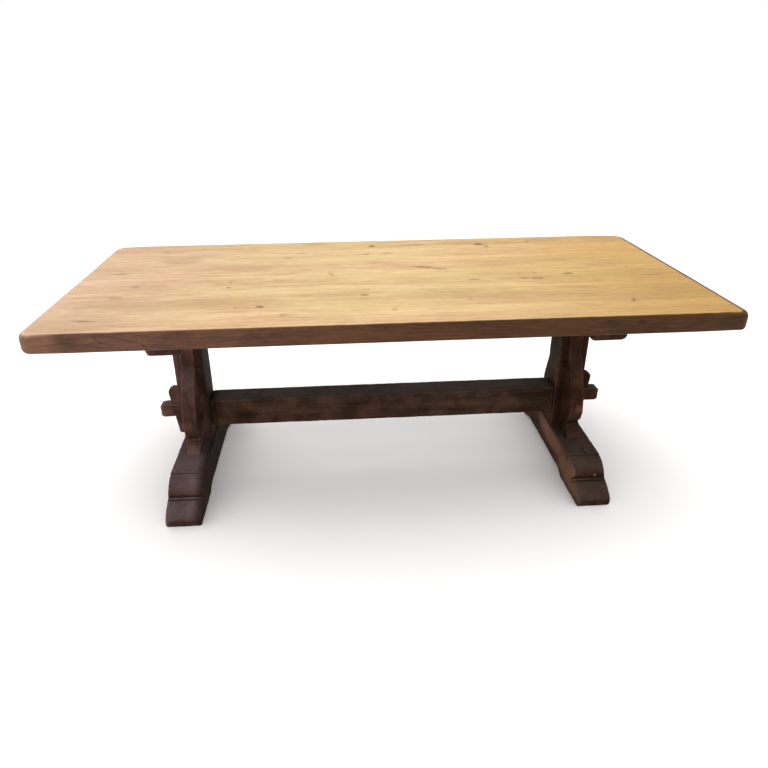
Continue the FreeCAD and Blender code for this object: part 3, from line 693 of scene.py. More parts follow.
# Dark patches, most of them painted shade: under the top, under the brackets and beside the posts.
DARK_AND_SHADED_PATCHES = [
    (-727, -394, 14, 75, 14, 22, 0.45), (727, -394, 14, 75, 14, 22, 0.35),
    (735, -226, 128, 4, 42, 10, 0.9), (-727, -130, 188, 60, 40, 12, 0.8),
    (727, -130, 188, 60, 40, 12, 0.8), (740, -330, 90, 50, 35, 40, 0.5),
    (690, -140, 420, 30, 50, 60, 0.5), (-700, -100, 300, 12, 60, 140, 0.6),
    (-720, -170, 350, 45, 75, 180, 0.65), (-663, -60, 80, 16, 260, 110, 0.85),
    (-688, -55, 450, 16, 16, 200, 0.45), (690, -56, 380, 20, 20, 200, 0.6),
    (-727, -150, 330, 30, 40, 35, 0.4),
]
# Grey patches on the faces that look up: scuffs and a painted sheen.
SCUFFED_AND_SHEEN_PATCHES = [
    (745, -215, 128, 55, 45, 16, 1.3), (-727, -200, 128, 70, 70, 20, 0.9),
    (-727, -320, 85, 70, 70, 40, 0.9),
]
# A painted glint on the right foot.
PALE_GLINT = [(752, -315, 78, 8, 8, 8, 1)]
# Painted shade lies in the grooves of the feet: distance from the middle in mm, and how dark it
# is.
GROOVES = [(261, 0.55), (323, 0.95), (333, 0.8)]
GROOVE_RIM = (3.5 * MM, 1.2 * MM)
# The painted shade starts and ends at these heights.
TOE_LOW = (45 * MM, 55 * MM)
TOE_HIGH = (135 * MM, 130 * MM)


def patch(wires, place, spot, softness):
    """Strength of one patch: full at its middle, gone at its rim."""
    x, y, z, reach_x, reach_y, reach_z = (number * MM for number in spot[:6])
    offset = (place - (x, y, z)) * (1 / reach_x, 1 / reach_y, 1 / reach_z)
    return wires.ramp(wires.size(offset), 1.0, softness, 0.0, spot[6])


def groove_shade(wires, y, z):
    """Painted shade in the grooves that run across the toes of both feet."""
    result = 0.0
    for distance, strength in GROOVES:
        away = wires.size(wires.size(y) - distance * MM)
        result = wires.largest(wires.ramp(away, *GROOVE_RIM, 0.0, strength), result)
    return result * wires.ramp(z, *TOE_LOW) * wires.ramp(z, *TOE_HIGH)


print(len(RUBBED_PATCHES), "rubbed and", len(DARK_AND_SHADED_PATCHES), "dark patches on the base")

# %% Stained oak material
STAIN = (0.0390, 0.0175, 0.0105, 1)
STAIN_DARK_AND_SHADE = (0.0125, 0.0062, 0.0042, 1)
STAIN_OLIVE = (0.0360, 0.0205, 0.0120, 1)
RUBBED_OAK = (0.158, 0.082, 0.052, 1)
WORN_ARRIS = (0.110, 0.063, 0.043, 1)
# Grey of scuffs and painted sheen on the faces that look up.
SCUFF_AND_SHEEN = (0.073, 0.058, 0.050, 1)
GLINT_TONE = (0.45, 0.42, 0.40, 1)
LEFT_BASE_LIT_TINT = (1.78, 1.64, 1.96, 1)
RIGHT_BASE_SHADED_TINT = (0.82, 0.70, 0.62, 1)
# Stretches along the table, in metres, in which the painted light tints fade or grow, and the two
# between which the left post's inner face lies in painted shadow.
LEFT_BASE_ENDS = (-0.712, -0.665)
RIGHT_BASE_STARTS = (0.60, 0.74)
SHADOW_STARTS = (-0.700, -0.668)
SHADOW_ENDS = (-0.640, -0.655)
SHADOW_DEPTH = 0.62
# How far the rims of the patches wander along the three axes.
FINE_WANDER = (0.02, 0, 0.02)
BROAD_WANDER = (0, 0.08, 0)
BASE_RING_GAP = 6 * MM
BASE_BUMP = 0.35 * MM
BASE_SPECULAR = 0.015


def base_tones(wires, place):
    """All tones of a beam's wood, by name, with the values that its surface carries."""
    tones = wood_tones(wires, wires.attribute("grain", "Vector"), BASE_RING_GAP)
    for name in ("worn", "near_edge", "sunk", "upward"):
        tones[name] = wires.attribute(name)
    tones["broad"] = wires.noise(place, scale=9, detail=4, roughness=0.6)
    tones["fine"] = wires.noise(place, scale=60, detail=3, roughness=0.6)
    return tones


def rubbed_colour(wires, tones, place, redness):
    """The stain, where it is whole, rubbed thin, scuffed with a painted sheen, and worn off the
    arrises.
    """
    stain = wires.blend(wires.ramp(tones["cloud"], 0.2, 0.8), STAIN, STAIN_OLIVE)
    tone = wires.ramp(weighed(tones, ring=0.25, streak=0.45, fibre=0.3), 0.15, 0.95)
    thin = wires.largest(wires.ramp(tones["broad"], 0.42, 0.68, 0.0, redness),
                         strongest(wires, RUBBED_PATCHES, patch, place) * (1.0 - tones["sunk"]))
    # Dust, scuffs and a painted sheen grey the faces that look up.
    dust_and_sheen = wires.ramp(weighed(tones, broad=1.0, fine=0.5), 0.45, 0.95, 0.35, 0.9)
    dust_and_sheen = wires.largest(dust_and_sheen, strongest(wires, SCUFFED_AND_SHEEN_PATCHES, patch, place))
    wear = weighed(tones, -1.4, worn=0.55, near_edge=0.45, fine=1.2, broad=1.6)
    wear = wires.ramp(wear, 0.3, 1.1, 0.0, 0.45)
    return layered(wires, stain, (tone, STAIN_DARK_AND_SHADE), (thin, RUBBED_OAK),
                   (dust_and_sheen * tones["upward"], SCUFF_AND_SHEEN), (wear, WORN_ARRIS))


def stained_oak(name, redness):
    material, wires, surface = new_material(name)
    place = wires.place()
    x, y, z = wires.split(place)
    tones = base_tones(wires, place)
    wander = (tones["fine"] - 0.5) * FINE_WANDER + (tones["broad"] - 0.5) * BROAD_WANDER
    colour = rubbed_colour(wires, tones, place + wander, redness)

    # Painted shadow on the left post's inner face, with dirt and painted shade in corners, painted
    # shade in the grooves and the dark, mostly shaded patches, all laid on as the darkest stain.
    dirt_and_shade = wires.ramp(x, *SHADOW_STARTS) * wires.ramp(x, *SHADOW_ENDS) * SHADOW_DEPTH
    for other in (tones["sunk"] * 0.85, groove_shade(wires, y, z),
                  strongest(wires, DARK_AND_SHADED_PATCHES, patch, place + wander, 0.3)):
        dirt_and_shade = wires.largest(dirt_and_shade, other)
    # A painted glint on the right foot.
    fleck = strongest(wires, PALE_GLINT, patch, place)
    colour = layered(wires, colour, (dirt_and_shade, STAIN_DARK_AND_SHADE), (fleck, GLINT_TONE))
    # Painted light from the left: the left trestle is paler and cooler, the right one darker and
    # warmer.
    tint = wires.blend(wires.ramp(x, *LEFT_BASE_ENDS), LEFT_BASE_LIT_TINT, NO_TINT)
    colour = colour * wires.blend(wires.ramp(x, *RIGHT_BASE_STARTS), tint, RIGHT_BASE_SHADED_TINT)

    roughness = weighed(tones, 0.50, worn=-0.12, fine=0.14, sunk=0.2)
    height = weighed(tones, fibre=0.4, pore=-0.6, ring=0.4, fine=0.6)
    finish_surface(wires, surface, colour, roughness, height, BASE_BUMP, BASE_SPECULAR)
    return material


base_oak = stained_oak("stained_oak", 0.25)
key_oak = stained_oak("stained_key_oak", 0.35)
print("stained oak:", len(base_oak.node_tree.nodes), "nodes")

# %% [markdown]
# ## From a node tree to a plain mesh
# A Geometry Nodes modifier is a recipe. For the finished table we want its result, a plain mesh,
# because that is what other programs can read. So each piece gets its recipe with its own sizes,
# Blender works it out once, and the result becomes the piece's mesh.

# %% Make trees and turn them into meshes
KINDS = {
    "geometry": "NodeSocketGeometry", "number": "NodeSocketFloat", "count": "NodeSocketInt",
    "vector": "NodeSocketVector", "material": "NodeSocketMaterial",
}


def new_tree(name, **inputs):
    """An empty recipe with inputs named under each kind: its wires, and each input's value."""
    tree = bpy.data.node_groups.new(name, "GeometryNodeTree")
    for kind, labels in inputs.items():
        for label in labels:
            tree.interface.new_socket(name=label, in_out="INPUT", socket_type=KINDS[kind])
    tree.interface.new_socket(name="Geometry", in_out="OUTPUT", socket_type=KINDS["geometry"])
    wires = Wires(tree)
    start = wires.node("NodeGroupInput")
    return wires, {socket.name: Value(wires, socket) for socket in start.outputs if socket.name}


def shaded(wires, geometry, smooth):
    """Smooth or flat faces."""
    feeds = {"Geometry": geometry, "Shade Smooth": smooth}
    return wires.value("GeometryNodeSetShadeSmooth", feeds)


def reshaped(wires, geometry, position):
    return wires.value("GeometryNodeSetPosition", {"Geometry": geometry, "Position": position})


def close_tree(wires, geometry, material):
    """Ends a recipe: real geometry with one material."""
    real = wires.value("GeometryNodeRealizeInstances", {"Geometry": geometry})
    dressed = wires.value("GeometryNodeSetMaterial", {"Geometry": real, "Material": material})
    end = wires.node("NodeGroupOutput")
    wires.tree.links.new(dressed.socket, end.inputs["Geometry"])
    return wires.tree


def store(wires, geometry, **values):
    """Keeps values on the surface under names that materials can read."""
    for name, value in values.items():
        kind = "FLOAT_VECTOR" if is_vector(value) else "FLOAT"
        feeds = {"Geometry": geometry, "Name": name, "Value": value}
        geometry = wires.value("GeometryNodeStoreNamedAttribute", feeds, data_type=kind,
                               domain="POINT")
    return geometry


def grow(piece, tree, sizes):
    """Works out a recipe on a piece and keeps the result as its plain mesh."""
    recipe = piece.modifiers.new("recipe", "NODES")
    recipe.node_group = tree
    for socket in tree.interface.items_tree:
        if socket.in_out == "INPUT" and socket.name in sizes:
            recipe[socket.identifier] = sizes[socket.name]
    bpy.context.view_layer.update()
    done = bpy.context.evaluated_depsgraph_get()
    mesh = bpy.data.meshes.new_from_object(piece.evaluated_get(done), depsgraph=done)
    mesh.name = piece.name
    piece.modifiers.clear()
    piece.data = mesh
    return piece


def new_piece(name, mesh=None):
    """A piece at the origin, with its place in its mesh."""
    piece = bpy.data.objects.new(name, mesh or bpy.data.meshes.new(name))
    bpy.context.collection.objects.link(piece)
    return piece


def body_of_node(node):
    """The moving body that a node of the joiner's model belongs to."""
    return body_of(nodes[node])[0]


def finish_piece(piece, node):
    """Says which body the piece moves with, and hides the node that it stands for."""
    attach(piece, body_of_node(node))
    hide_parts(node)
    return piece


# %% [markdown]
# ## The boards of the top
# The six boards all follow one rule, so one recipe makes them. It starts from a cube whose faces
# are grids, closer together near the rim. The grid is then bent in two steps that use the same
# trick, turning a square into a quarter disc: once seen from above, for the rounded corners of
# the top, and once in section, for the arris. The photograph shows a crisp arris along the two
# sides and a fat round one at the ends, so the arris grows on the last stretch of each side and
# as the rim turns towards an end, and each corner has a radius of its own. Old boards are never
# perfect: the rim wanders in and out a little, the arris is softer in some places than in
# others, and the planed face dips slightly.

# %% Recipe for a board
BOARD_GRID = (320, 40, 22)
# Shares of the grid's lines at which their spacing changes: along, across and in height.
RIM_SHARES = (0.84, 0.95)
CROSS_SHARES = (0.5, 0.8)
LAYER_SHARE = 0.55
SEAM_SIDE = 8 * MM
# The last stretch of a side, in which the arris starts to grow, and how far it gets there.
NEAR_END = (140 * MM, 30 * MM, 0.0, 0.5)


def either(test, yes, no):
    """One value where a test is 1, and another where it is 0."""
    return test * yes + (1.0 - test) * no


def spread(wires, share, lengths, breaks):
    """Places grid lines along three stretches, the last of them the finest."""
    first, second = breaks
    return (lengths[0] * wires.ramp(share, 0.0, first, soft=False)
            + lengths[1] * wires.ramp(share, first, second, soft=False)
            + lengths[2] * wires.ramp(share, second, 1.0, soft=False))


def to_disc(wires, a, b):
    """Share by which a point of a square moves in, so that the square becomes a disc."""
    reach = wires.largest(wires.size(wires.join(a, b, 0.0)), TINY)
    return wires.largest(a, b) / reach


def grid_places(wires, given, radius, u, v, w):
    """Where the cube's grid lines go on a board with sharp edges."""
    arris, ease = given["Arris"], given["Seam ease"]
    along = (given["Half length"] - radius, radius - arris, arris)
    x = wires.sign(u) * spread(wires, wires.size(u), along, RIM_SHARES)
    is_rim = either(wires.is_over(v), given["Back is rim"], given["Front is rim"])
    near = either(is_rim, radius, SEAM_SIDE)
    fine = either(is_rim, arris, ease)
    half = (given["Back"] - given["Front"]) * 0.5
    reach = spread(wires, wires.size(v), (half - near, near - fine, fine), CROSS_SHARES)
    share = wires.size(w)
    rise = (wires.ramp(share, 0.0, LAYER_SHARE, soft=False) * (given["Half thickness"] - arris)
            + wires.ramp(share, LAYER_SHARE, 1.0, soft=False) * arris)

    seam_in = wires.largest(reach - (half - ease), 0.0) * (1.0 - is_rim)
    seam_up = wires.largest(rise - (given["Half thickness"] - ease), 0.0)
    move_in = 1.0 - to_disc(wires, seam_in, seam_up)
    middle = (given["Front"] + given["Back"]) * 0.5
    y = middle + (reach - seam_in * move_in) * wires.sign(v)
    return x, y, rise - seam_up * move_in * wires.is_over(seam_in), seam_in / ease


def rim_arris(wires, given, x, turned, slow, above):
    """Size of the arris: crisp along the sides, fat at the ends, softer here and there."""
    near_end = wires.ramp(given["Half length"] - wires.size(x), *NEAR_END)
    towards_end = wires.largest(wires.ramp(turned, 0.0, 0.8), near_end)
    end_arris = either(above, given["End arris above"], given["End arris below"])
    arris = given["Arris"] + (end_arris - given["Arris"]) * towards_end
    return arris * wires.ramp(slow, 0.3, 0.7, 0.85, 1.0)


def board_recipe():
    wires, given = new_tree("planed_board", number=[
        "Front", "Back", "Front is rim", "Back is rim", "Half length", "Half width",
        "Middle height", "Half thickness", "Left corner", "Right corner", "Arris",
        "End arris above", "End arris below", "Seam ease", "Rim wander", "Face dip", "Board",
    ], material=["Material"])
    columns, rows, layers = BOARD_GRID
    cube = wires.value("GeometryNodeMeshCube", {
        "Size": (2, 2, 2), "Vertices X": columns, "Vertices Y": rows, "Vertices Z": layers,
    }, "Mesh")
    u, v, w = wires.split(wires.value("GeometryNodeInputPosition"))
    radius = either(wires.is_over(u), given["Right corner"], given["Left corner"])
    half_thickness = given["Half thickness"]
    x, y, rise, seam = grid_places(wires, given, radius, u, v, w)
    above = wires.is_over(w)
    slow = wires.noise(wires.join(x, y, 0.0), scale=2.2, detail=2)
    wander = slow * given["Rim wander"]

    past_x = wires.largest(wires.size(x) - (given["Half length"] - radius), 0.0)
    past_y = wires.largest(wires.size(y) - (given["Half width"] - radius), 0.0)
    shrink = to_disc(wires, past_x, past_y) * (1.0 - wander / radius)
    out_x = past_x * shrink
    out_y = past_y * shrink
    reach = wires.size(wires.join(out_x, out_y, 0.0))
    from_rim = wires.largest(reach, TINY)
    arris = rim_arris(wires, given, x, out_x / from_rim, slow, above)

    edge_in = wires.largest(reach - (radius - wander - arris), 0.0)
    edge_up = wires.largest(rise - (half_thickness - arris), 0.0)
    move_in = 1.0 - to_disc(wires, edge_in, edge_up)
    both = wires.is_over(edge_in * edge_up)
    keep = (reach - edge_in * move_in * both) / from_rim
    dip = wires.noise(wires.join(x, y, given["Board"]), scale=9, detail=2) * given["Face dip"]
    dip = dip * wires.ramp(rise, 0.0, half_thickness)
    final_x = (wires.size(x) - past_x + out_x * keep) * wires.sign(x)
    final_y = (wires.size(y) - past_y + out_y * keep) * wires.sign(y)
    final_rise = rise - edge_up * move_in * both - dip
    final_z = given["Middle height"] + final_rise * wires.sign(w)

    under = 1.0 - wires.ramp(w, -0.5, 0.2)
    rim = wires.largest(wires.smallest(edge_in / arris * (1.0 - move_in), 1.0), under)
    geometry = store(
        wires, cube, board=given["Board"], across=y - (given["Front"] + given["Back"]) * 0.5,
        seam=seam * above, rim=rim, rubbed=wires.smallest(edge_up / arris, 1.0) * above)
    shaped = reshaped(wires, geometry, wires.join(final_x, final_y, final_z))
    return close_tree(wires, shaded(wires, shaped, True), given["Material"])


board_tree = board_recipe()
print("board recipe:", len(board_tree.nodes), "nodes")

# %% Make the six boards
BOARD_COUNT = 6
# Radii of the top's corners, left and right.
FRONT_CORNERS = (40 * MM, 27 * MM)
BACK_CORNERS = (43 * MM, 43 * MM)


def planed_board(number):
    node = f"top_board_{number}"
    low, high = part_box(node)
    is_last = number == BOARD_COUNT
    left_corner, right_corner = BACK_CORNERS if is_last else FRONT_CORNERS
    piece = grow(new_piece(f"planed_board_{number}"), board_tree, {
        "Front": low.y, "Back": high.y,
        "Front is rim": float(number == 1), "Back is rim": float(is_last),
        "Half length": HALF_LENGTH, "Half width": HALF_WIDTH,
        "Middle height": (low.z + high.z) / 2, "Half thickness": (high.z - low.z) / 2,
        "Left corner": left_corner, "Right corner": right_corner,
        "Arris": 5 * MM, "End arris above": 25 * MM, "End arris below": 12 * MM,
        "Seam ease": 0.7 * MM, "Rim wander": 1.0 * MM, "Face dip": 0.5 * MM,
        "Board": float(number), "Material": top_oak,
    })
    return finish_piece(piece, node)


boards = [planed_board(number) for number in range(1, BOARD_COUNT + 1)]
print("boards:", sum(len(board.data.polygons) for board in boards), "faces")

# %% [markdown]
# ## Worn beams
# Posts, feet, brackets, bearers, stretcher and keys have the right shape in the joiner's model,
# but with machine-sharp faces. A real beam has been knocked and rubbed for years. We take a copy
# of each beam, give it a fine even skin of faces, and run one recipe on it: the corners are
# smoothed a little, the surface is dented inwards by a fraction of a millimetre, and each point
# learns whether it lies on an edge or in a corner by comparing it with its smoothed neighbours.
# The fine mouldings of a foot all run straight across it. So before the skin is made, the copy
# is squeezed along that direction and afterwards stretched back. The faces come out long and
# narrow, and the mouldings get twice the detail for the same number of faces.

# %% Recipe for a worn beam
# A point is compared with its neighbours twice, for fine and for broad edges.
FINE_ROUNDS = 5
BROAD_ROUNDS = 36
BROAD_TIMES = 2.6
# Each beam comes from another place in the tree.
BEAM_SHIFT = (2.71, 1.37, 0.83)


def blurred(wires, value, rounds):
    """The mean of a value over the neighbouring points, several times over."""
    feeds = {"Value": value, "Iterations": rounds}
    return wires.value("GeometryNodeBlurAttribute", feeds, data_type="FLOAT_VECTOR")


def beam_recipe():
    wires, given = new_tree(
        "worn_beam", geometry=["Geometry"], vector=["Stretch", "Grain", "Across", "Deep"],
        count=["Smoothing"], number=["Edge size", "Dent", "Knock", "Piece"],
        material=["Material"])
    place = wires.value("GeometryNodeInputPosition")
    geometry = reshaped(wires, given["Geometry"], place * given["Stretch"])
    geometry = reshaped(wires, geometry, blurred(wires, place, given["Smoothing"]))
    facing = wires.value("GeometryNodeInputNormal")
    bulge = wires.dot(place - blurred(wires, place, FINE_ROUNDS), facing)
    broad_bulge = wires.dot(place - blurred(wires, place, BROAD_ROUNDS), facing)
    edge, broad = given["Edge size"], given["Edge size"] * BROAD_TIMES
    # How deep a point lies in a corner, where the material paints dirt and shade.
    sunk = wires.largest(wires.ramp(bulge * -1.0, edge * 0.12, edge * 0.8),
                         wires.ramp(broad_bulge * -1.0, broad * 0.15, broad, 0.0, 0.7))
    own = wires.join(*(given["Piece"] * step for step in BEAM_SHIFT))
    grain = wires.join(*(wires.dot(place, given[way]) for way in ("Grain", "Across", "Deep")))
    geometry = store(
        wires, geometry, worn=wires.ramp(bulge, edge * 0.15, edge),
        near_edge=wires.ramp(broad_bulge, broad * 0.10, broad), sunk=sunk,
        upward=wires.ramp(wires.dot(facing, (0, 0, 1)), 0.25, 0.9), grain=grain + own)

    slow = wires.noise(place + own, scale=11, detail=2)
    quick = wires.noise(place + own, scale=55, detail=2)
    dent = wires.ramp(slow, 0.35, 0.7) * 0.6 + wires.ramp(quick, 0.4, 0.75) * 0.4
    knock = wires.ramp((quick + slow) * 0.5, 0.45, 0.65)
    worn = wires.value("GeometryNodeInputNamedAttribute", {"Name": "worn"}, data_type="FLOAT")
    inward = dent * given["Dent"] + worn * knock * given["Knock"]
    geometry = wires.value("GeometryNodeSetPosition", {
        "Geometry": geometry, "Offset": facing * (inward * -1.0),
    })
    return close_tree(wires, shaded(wires, geometry, True), given["Material"])


beam_tree = beam_recipe()
print("beam recipe:", len(beam_tree.nodes), "nodes")

# %% Skin the beams
AXES = {"x": (1, 0, 0), "y": (0, 1, 0), "z": (0, 0, 1)}
# The axes along, across and deep in the wood, by the way that the grain runs.
GRAIN_AXES = {"x": "xyz", "y": "yxz", "z": "zxy"}
# For each kind of beam: the way its grain runs, the size of its skin's faces in mm, and how much
# it is squeezed along the three axes while it is skinned.
BEAMS = {
    "foot": ("y", 1.8, (0.42, 1, 1)), "bearer": ("y", 2.4, (0.5, 0.7, 1)),
    "post": ("z", 2.2, (1, 1, 0.35)), "front_bracket": ("z", 1.8, (0.6, 1, 1)),
    "rear_bracket": ("z", 1.8, (0.6, 1, 1)), "stretcher": ("x", 2.3, (0.3, 1, 1)),
    "key": ("z", 1.4, (1, 1, 1)),
}
SMOOTHING_ROUNDS = 2
EDGE_FACES = 0.5
# Depth of the dents in the faces and of the knocks on the arrises.
BEAM_DENTS = (0.6 * MM, 1.6 * MM)
KEY_DENTS = (0.3 * MM, 0.6 * MM)
SAME_POINT = 0.01 * MM


def merged_copy(node, squeeze):
    """The joiner's mesh, with its loose triangles joined into one closed skin, and squeezed."""
    mesh = nodes[node].data.copy()
    work = bmesh.new()
    work.from_mesh(mesh)
    bmesh.ops.remove_doubles(work, verts=work.verts, dist=SAME_POINT)
    work.to_mesh(mesh)
    work.free()
    mesh.materials.clear()
    mesh.transform(Matrix.Diagonal((*squeeze, 1)))
    return mesh


def kind_of(node):
    """The kind of beam that a node is, without its side."""
    return node.split("_", 1)[-1]


def worn_beam(node, number):
    grain, face, squeeze = BEAMS[kind_of(node)]
    along, across, deep = (AXES[axis] for axis in GRAIN_AXES[grain])
    material, slot, (dent, knock) = base_oak, "base_oak", BEAM_DENTS
    if kind_of(node) == "key":
        material, slot, (dent, knock) = key_oak, "key_oak", KEY_DENTS
    piece = new_piece("worn_" + node, merged_copy(node, squeeze))
    skin = piece.modifiers.new("skin", "REMESH")
    skin.mode = "VOXEL"
    skin.voxel_size = face * MM
    grow(piece, beam_tree, {
        "Stretch": [1 / share for share in squeeze],
        "Grain": along, "Across": across, "Deep": deep,
        "Smoothing": SMOOTHING_ROUNDS, "Edge size": EDGE_FACES * face * MM,
        "Dent": dent, "Knock": knock, "Piece": float(number), "Material": material,
    })
    return finish_piece(piece, node)


beam_nodes = [node for node in sorted(nodes) if kind_of(node) in BEAMS]
beams = [worn_beam(node, number) for number, node in enumerate(beam_nodes, 1)]

# %% [markdown]
# ## Finishes for the small pieces
# Pegs, dowels and tongues are plain wood, dark where they show. The screws and washers are zinc
# that has gone dull. The tongues between the boards, the dowels behind the brackets and the
# washers keep the joiner's shape, which is already that of the real thing.

# %% Plain wood and dull zinc
# The light and the dark tone of each finish.
PEG_TONES = ((0.070, 0.036, 0.022, 1), (0.024, 0.013, 0.009, 1))
TONGUE_TONES = ((0.42, 0.28, 0.15, 1), (0.27, 0.16, 0.08, 1))
ZINC_TONES = ((0.42, 0.42, 0.43, 1), (0.24, 0.23, 0.22, 1))
PEG_RING_GAP = 4 * MM


def plain_wood(name, light, dark):
    material, wires, surface = new_material(name)
    tones = wood_tones(wires, wires.place(), PEG_RING_GAP)
    colour = wires.blend(weighed(tones, ring=0.5, fibre=0.5), light, dark)
    roughness = weighed(tones, 0.6, fibre=0.1)
    finish_surface(wires, surface, colour, roughness, tones["fibre"], 0.2 * MM, specular=0.15)
    return material


def dull_zinc():
    material, wires, surface = new_material("dull_zinc")
    cloud = wires.noise(wires.place(), scale=300, detail=3)
    colour = wires.blend(wires.ramp(cloud, 0.3, 0.7), *ZINC_TONES)
    finish_surface(wires, surface, colour, 0.35 + cloud * 0.3, cloud, 0.05 * MM)
    surface.inputs["Metallic"].default_value = 1.0
    return material


peg_wood = plain_wood("peg_wood", *PEG_TONES)
tongue_wood = plain_wood("tongue_wood", *TONGUE_TONES)
zinc = dull_zinc()
KEPT_PIECES = {"tongue": tongue_wood, "dowels": peg_wood, "washers": zinc}
for node, solid in nodes.items():
    for ending, material in KEPT_PIECES.items():
        if ending in node:
            solid.data.materials.clear()
            solid.data.materials.append(material)
print("tongues, dowels and washers finished")

# %% [markdown]
# ## Pegs
# Two oak pegs hold each tenon of a post. A joiner splits them from straight wood and whittles
# them to eight sides, so they are never quite round or even, and the end that stands out is
# rounded over by the mallet. The recipe shapes one peg and sets a copy of it on each point that
# it is given, each copy turned by its own angle.

# %% Recipe for whittled pegs
PEG_SIDES = 8
PEG_RINGS = 12
PEG_FANS = 3
PEG_SEED = 7
PEG_SPIN = 3.0
PEG_TAPER = 0.16
PEG_UNEVENNESS = 0.08


def cylinder(wires, feeds, sides, rings, fans):
    counts = {"Vertices": sides, "Side Segments": rings, "Fill Segments": fans}
    return wires.value("GeometryNodeMeshCylinder", {**counts, **feeds}, "Mesh",
                       fill_type="TRIANGLE_FAN")


def peg_recipe():
    wires, given = new_tree("whittled_peg", geometry=["Geometry"], material=["Material"],
                            number=["Radius", "Length", "Rounding", "Turn"])
    radius, length, rounding = given["Radius"], given["Length"], given["Rounding"]
    stick = cylinder(wires, {"Radius": radius, "Depth": length}, PEG_SIDES, PEG_RINGS, PEG_FANS)
    place = wires.value("GeometryNodeInputPosition")
    x, y, z = wires.split(place)
    from_axis = wires.size(wires.join(x, y, 0.0)) / radius
    at_end = wires.ramp(z, length * 0.5 - rounding, length * 0.5)
    uneven = wires.noise(place, scale=90, detail=1)
    slim = 1.0 - at_end * PEG_TAPER - uneven * PEG_UNEVENNESS
    height = z - at_end * from_axis * from_axis * rounding * 0.5
    stick = reshaped(wires, stick, wires.join(height, x * slim, y * slim))
    limits = {"Min": 0.0, "Max": PEG_SPIN, "Seed": PEG_SEED}
    spin = wires.value("FunctionNodeRandomValue", limits, "Value", data_type="FLOAT")
    copies = wires.value("GeometryNodeInstanceOnPoints", {
        "Points": given["Geometry"], "Instance": shaded(wires, stick, False),
        "Rotation": wires.join(spin, 0.0, given["Turn"]),
    })
    return close_tree(wires, copies, given["Material"])


peg_tree = peg_recipe()
print("peg recipe:", len(peg_tree.nodes), "nodes")

# %% Set the pegs where the joiner bored for them
def solids_of(node):
    """Lowest and highest corner of each separate solid of a node."""
    work = bmesh.new()
    work.from_mesh(nodes[node].data)
    bmesh.ops.remove_doubles(work, verts=work.verts, dist=SAME_POINT)
    waiting = set(work.verts)
    boxes = []
    while waiting:
        reached = [waiting.pop()]
        for point in reached:
            for side in point.link_edges:
                other = side.other_vert(point)
                if other in waiting:
                    waiting.remove(other)
                    reached.append(other)
        places = [point.co for point in reached]
        boxes.append([Vector(pick(place[axis] for place in places) for axis in range(3))
                      for pick in (min, max)])
    work.free()
    return sorted(boxes, key=lambda box: box[0].y)


def points_piece(name, places):
    """A piece that holds only points, one for each copy that a recipe will set."""
    mesh = bpy.data.meshes.new(name)
    mesh.from_pydata(places, [], [])
    return new_piece(name, mesh)


def whittled_pegs(node):
    boxes = solids_of(node)
    low, high = boxes[0]
    turn = 0.0 if node.startswith("right") else pi
    piece = points_piece("whittled_" + node, [(low + high) / 2 for low, high in boxes])
    grow(piece, peg_tree, {
        "Radius": (high.y - low.y) / 2, "Length": high.x - low.x, "Rounding": 3 * MM,
        "Turn": turn, "Material": peg_wood,
    })
    return finish_piece(piece, node)


pegs = [whittled_pegs(node) for node in sorted(nodes) if node.endswith("pegs")]
for piece in pegs:
    print(piece.name, len(piece.data.polygons), "faces")

# %% [markdown]
# ## Screws
# Four screws come up through each bearer into the boards. They can only be seen from below, deep
# in their counterbores, but they come into full view when the table is taken apart. The thread
# is made by a rule: round the shank, the surface rises and falls once for each pitch, and the
# rise moves up as we go round.

# %% Recipe for hexagon screws
THREAD_PITCH = 3.2 * MM
THREAD_DEPTH = 0.9 * MM
SHANK_RADIUS = 3.9 * MM
SHANK_SIDES = 12
SHANK_RINGS = 150
TIP_TAPER = 0.9
HEAD_HEIGHT = 5.5 * MM
HEAD_RADIUS = 7.4 * MM
HEAD_SIDES = 6
HEAD_RINGS = 5
HEAD_FANS = 2
# The head narrows by this share of its radius over the last fifth of its height.
CHAMFER = 0.13
CHAMFER_START = 0.8


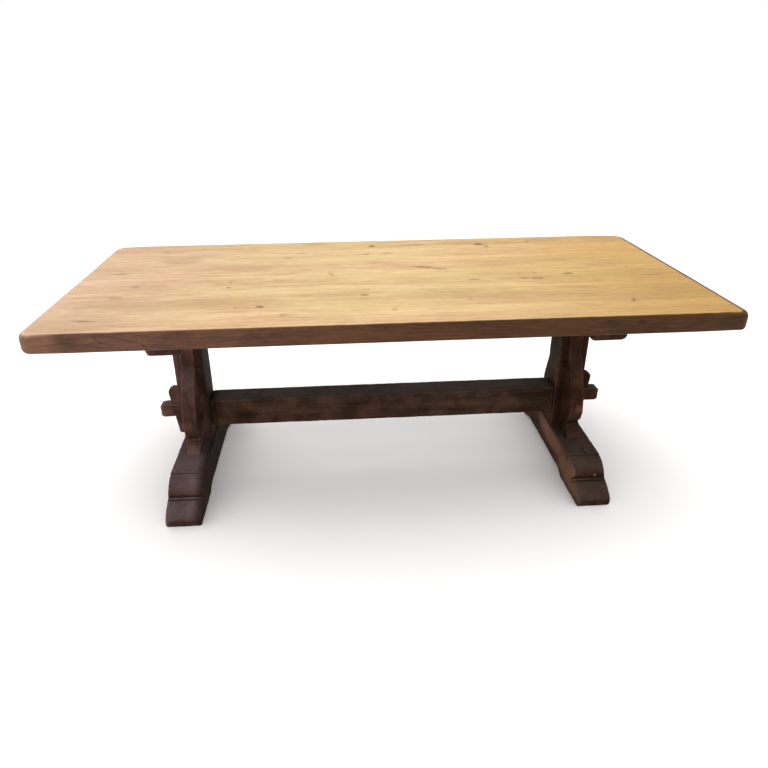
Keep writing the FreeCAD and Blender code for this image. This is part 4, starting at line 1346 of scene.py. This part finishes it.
def screw_recipe():
    wires, given = new_tree("hexagon_screw", geometry=["Geometry"], material=["Material"],
                            number=["Length", "Thread start", "Tip length"])
    length, start = given["Length"], given["Thread start"]
    shank = cylinder(wires, {"Radius": SHANK_RADIUS, "Depth": length}, SHANK_SIDES, SHANK_RINGS, 1)
    x, y, z = wires.split(wires.value("GeometryNodeInputPosition"))
    up = z + length * 0.5
    angle = wires.sum("ARCTAN2", y, x) / (2 * pi)
    wave = wires.sum("FRACT", up / THREAD_PITCH - angle)
    groove = wires.size(wave - 0.5) * 2.0
    threaded = wires.ramp(up, start, start + THREAD_PITCH)
    tip = wires.ramp(up, length - given["Tip length"], length)
    slim = (1.0 - groove * threaded * (THREAD_DEPTH / SHANK_RADIUS)) * (1.0 - tip * TIP_TAPER)
    shank = reshaped(wires, shank, wires.join(x * slim, y * slim, up))

    head_size = {"Radius": HEAD_RADIUS, "Depth": HEAD_HEIGHT}
    head = cylinder(wires, head_size, HEAD_SIDES, HEAD_RINGS, HEAD_FANS)
    down = HEAD_HEIGHT * 0.5 - z
    narrow = wires.ramp(down / HEAD_HEIGHT, CHAMFER_START, 1.0, 1.0, 1.0 - CHAMFER, soft=False)
    head = reshaped(wires, head, wires.join(x * narrow, y * narrow, down * -1.0))
    screw = wires.together(shaded(wires, shank, True), shaded(wires, head, False))
    copies = wires.value("GeometryNodeInstanceOnPoints", {
        "Points": given["Geometry"], "Instance": screw,
    })
    return close_tree(wires, copies, given["Material"])


screw_tree = screw_recipe()
print("screw recipe:", len(screw_tree.nodes), "nodes")

# %% Drive the screws
def hexagon_screws(node):
    boxes = solids_of(node)
    seats = [(*((low + high) / 2).xy, low.z + HEAD_HEIGHT) for low, high in boxes]
    low, high = boxes[0]
    piece = points_piece("hexagon_" + node, seats)
    grow(piece, screw_tree, {
        "Length": high.z - low.z - HEAD_HEIGHT, "Thread start": 30 * MM, "Tip length": 9 * MM,
        "Material": zinc,
    })
    return finish_piece(piece, node)


screws = [hexagon_screws(node) for node in sorted(nodes) if node.endswith("screws")]
for piece in screws:
    print(piece.name, len(piece.data.polygons), "faces")
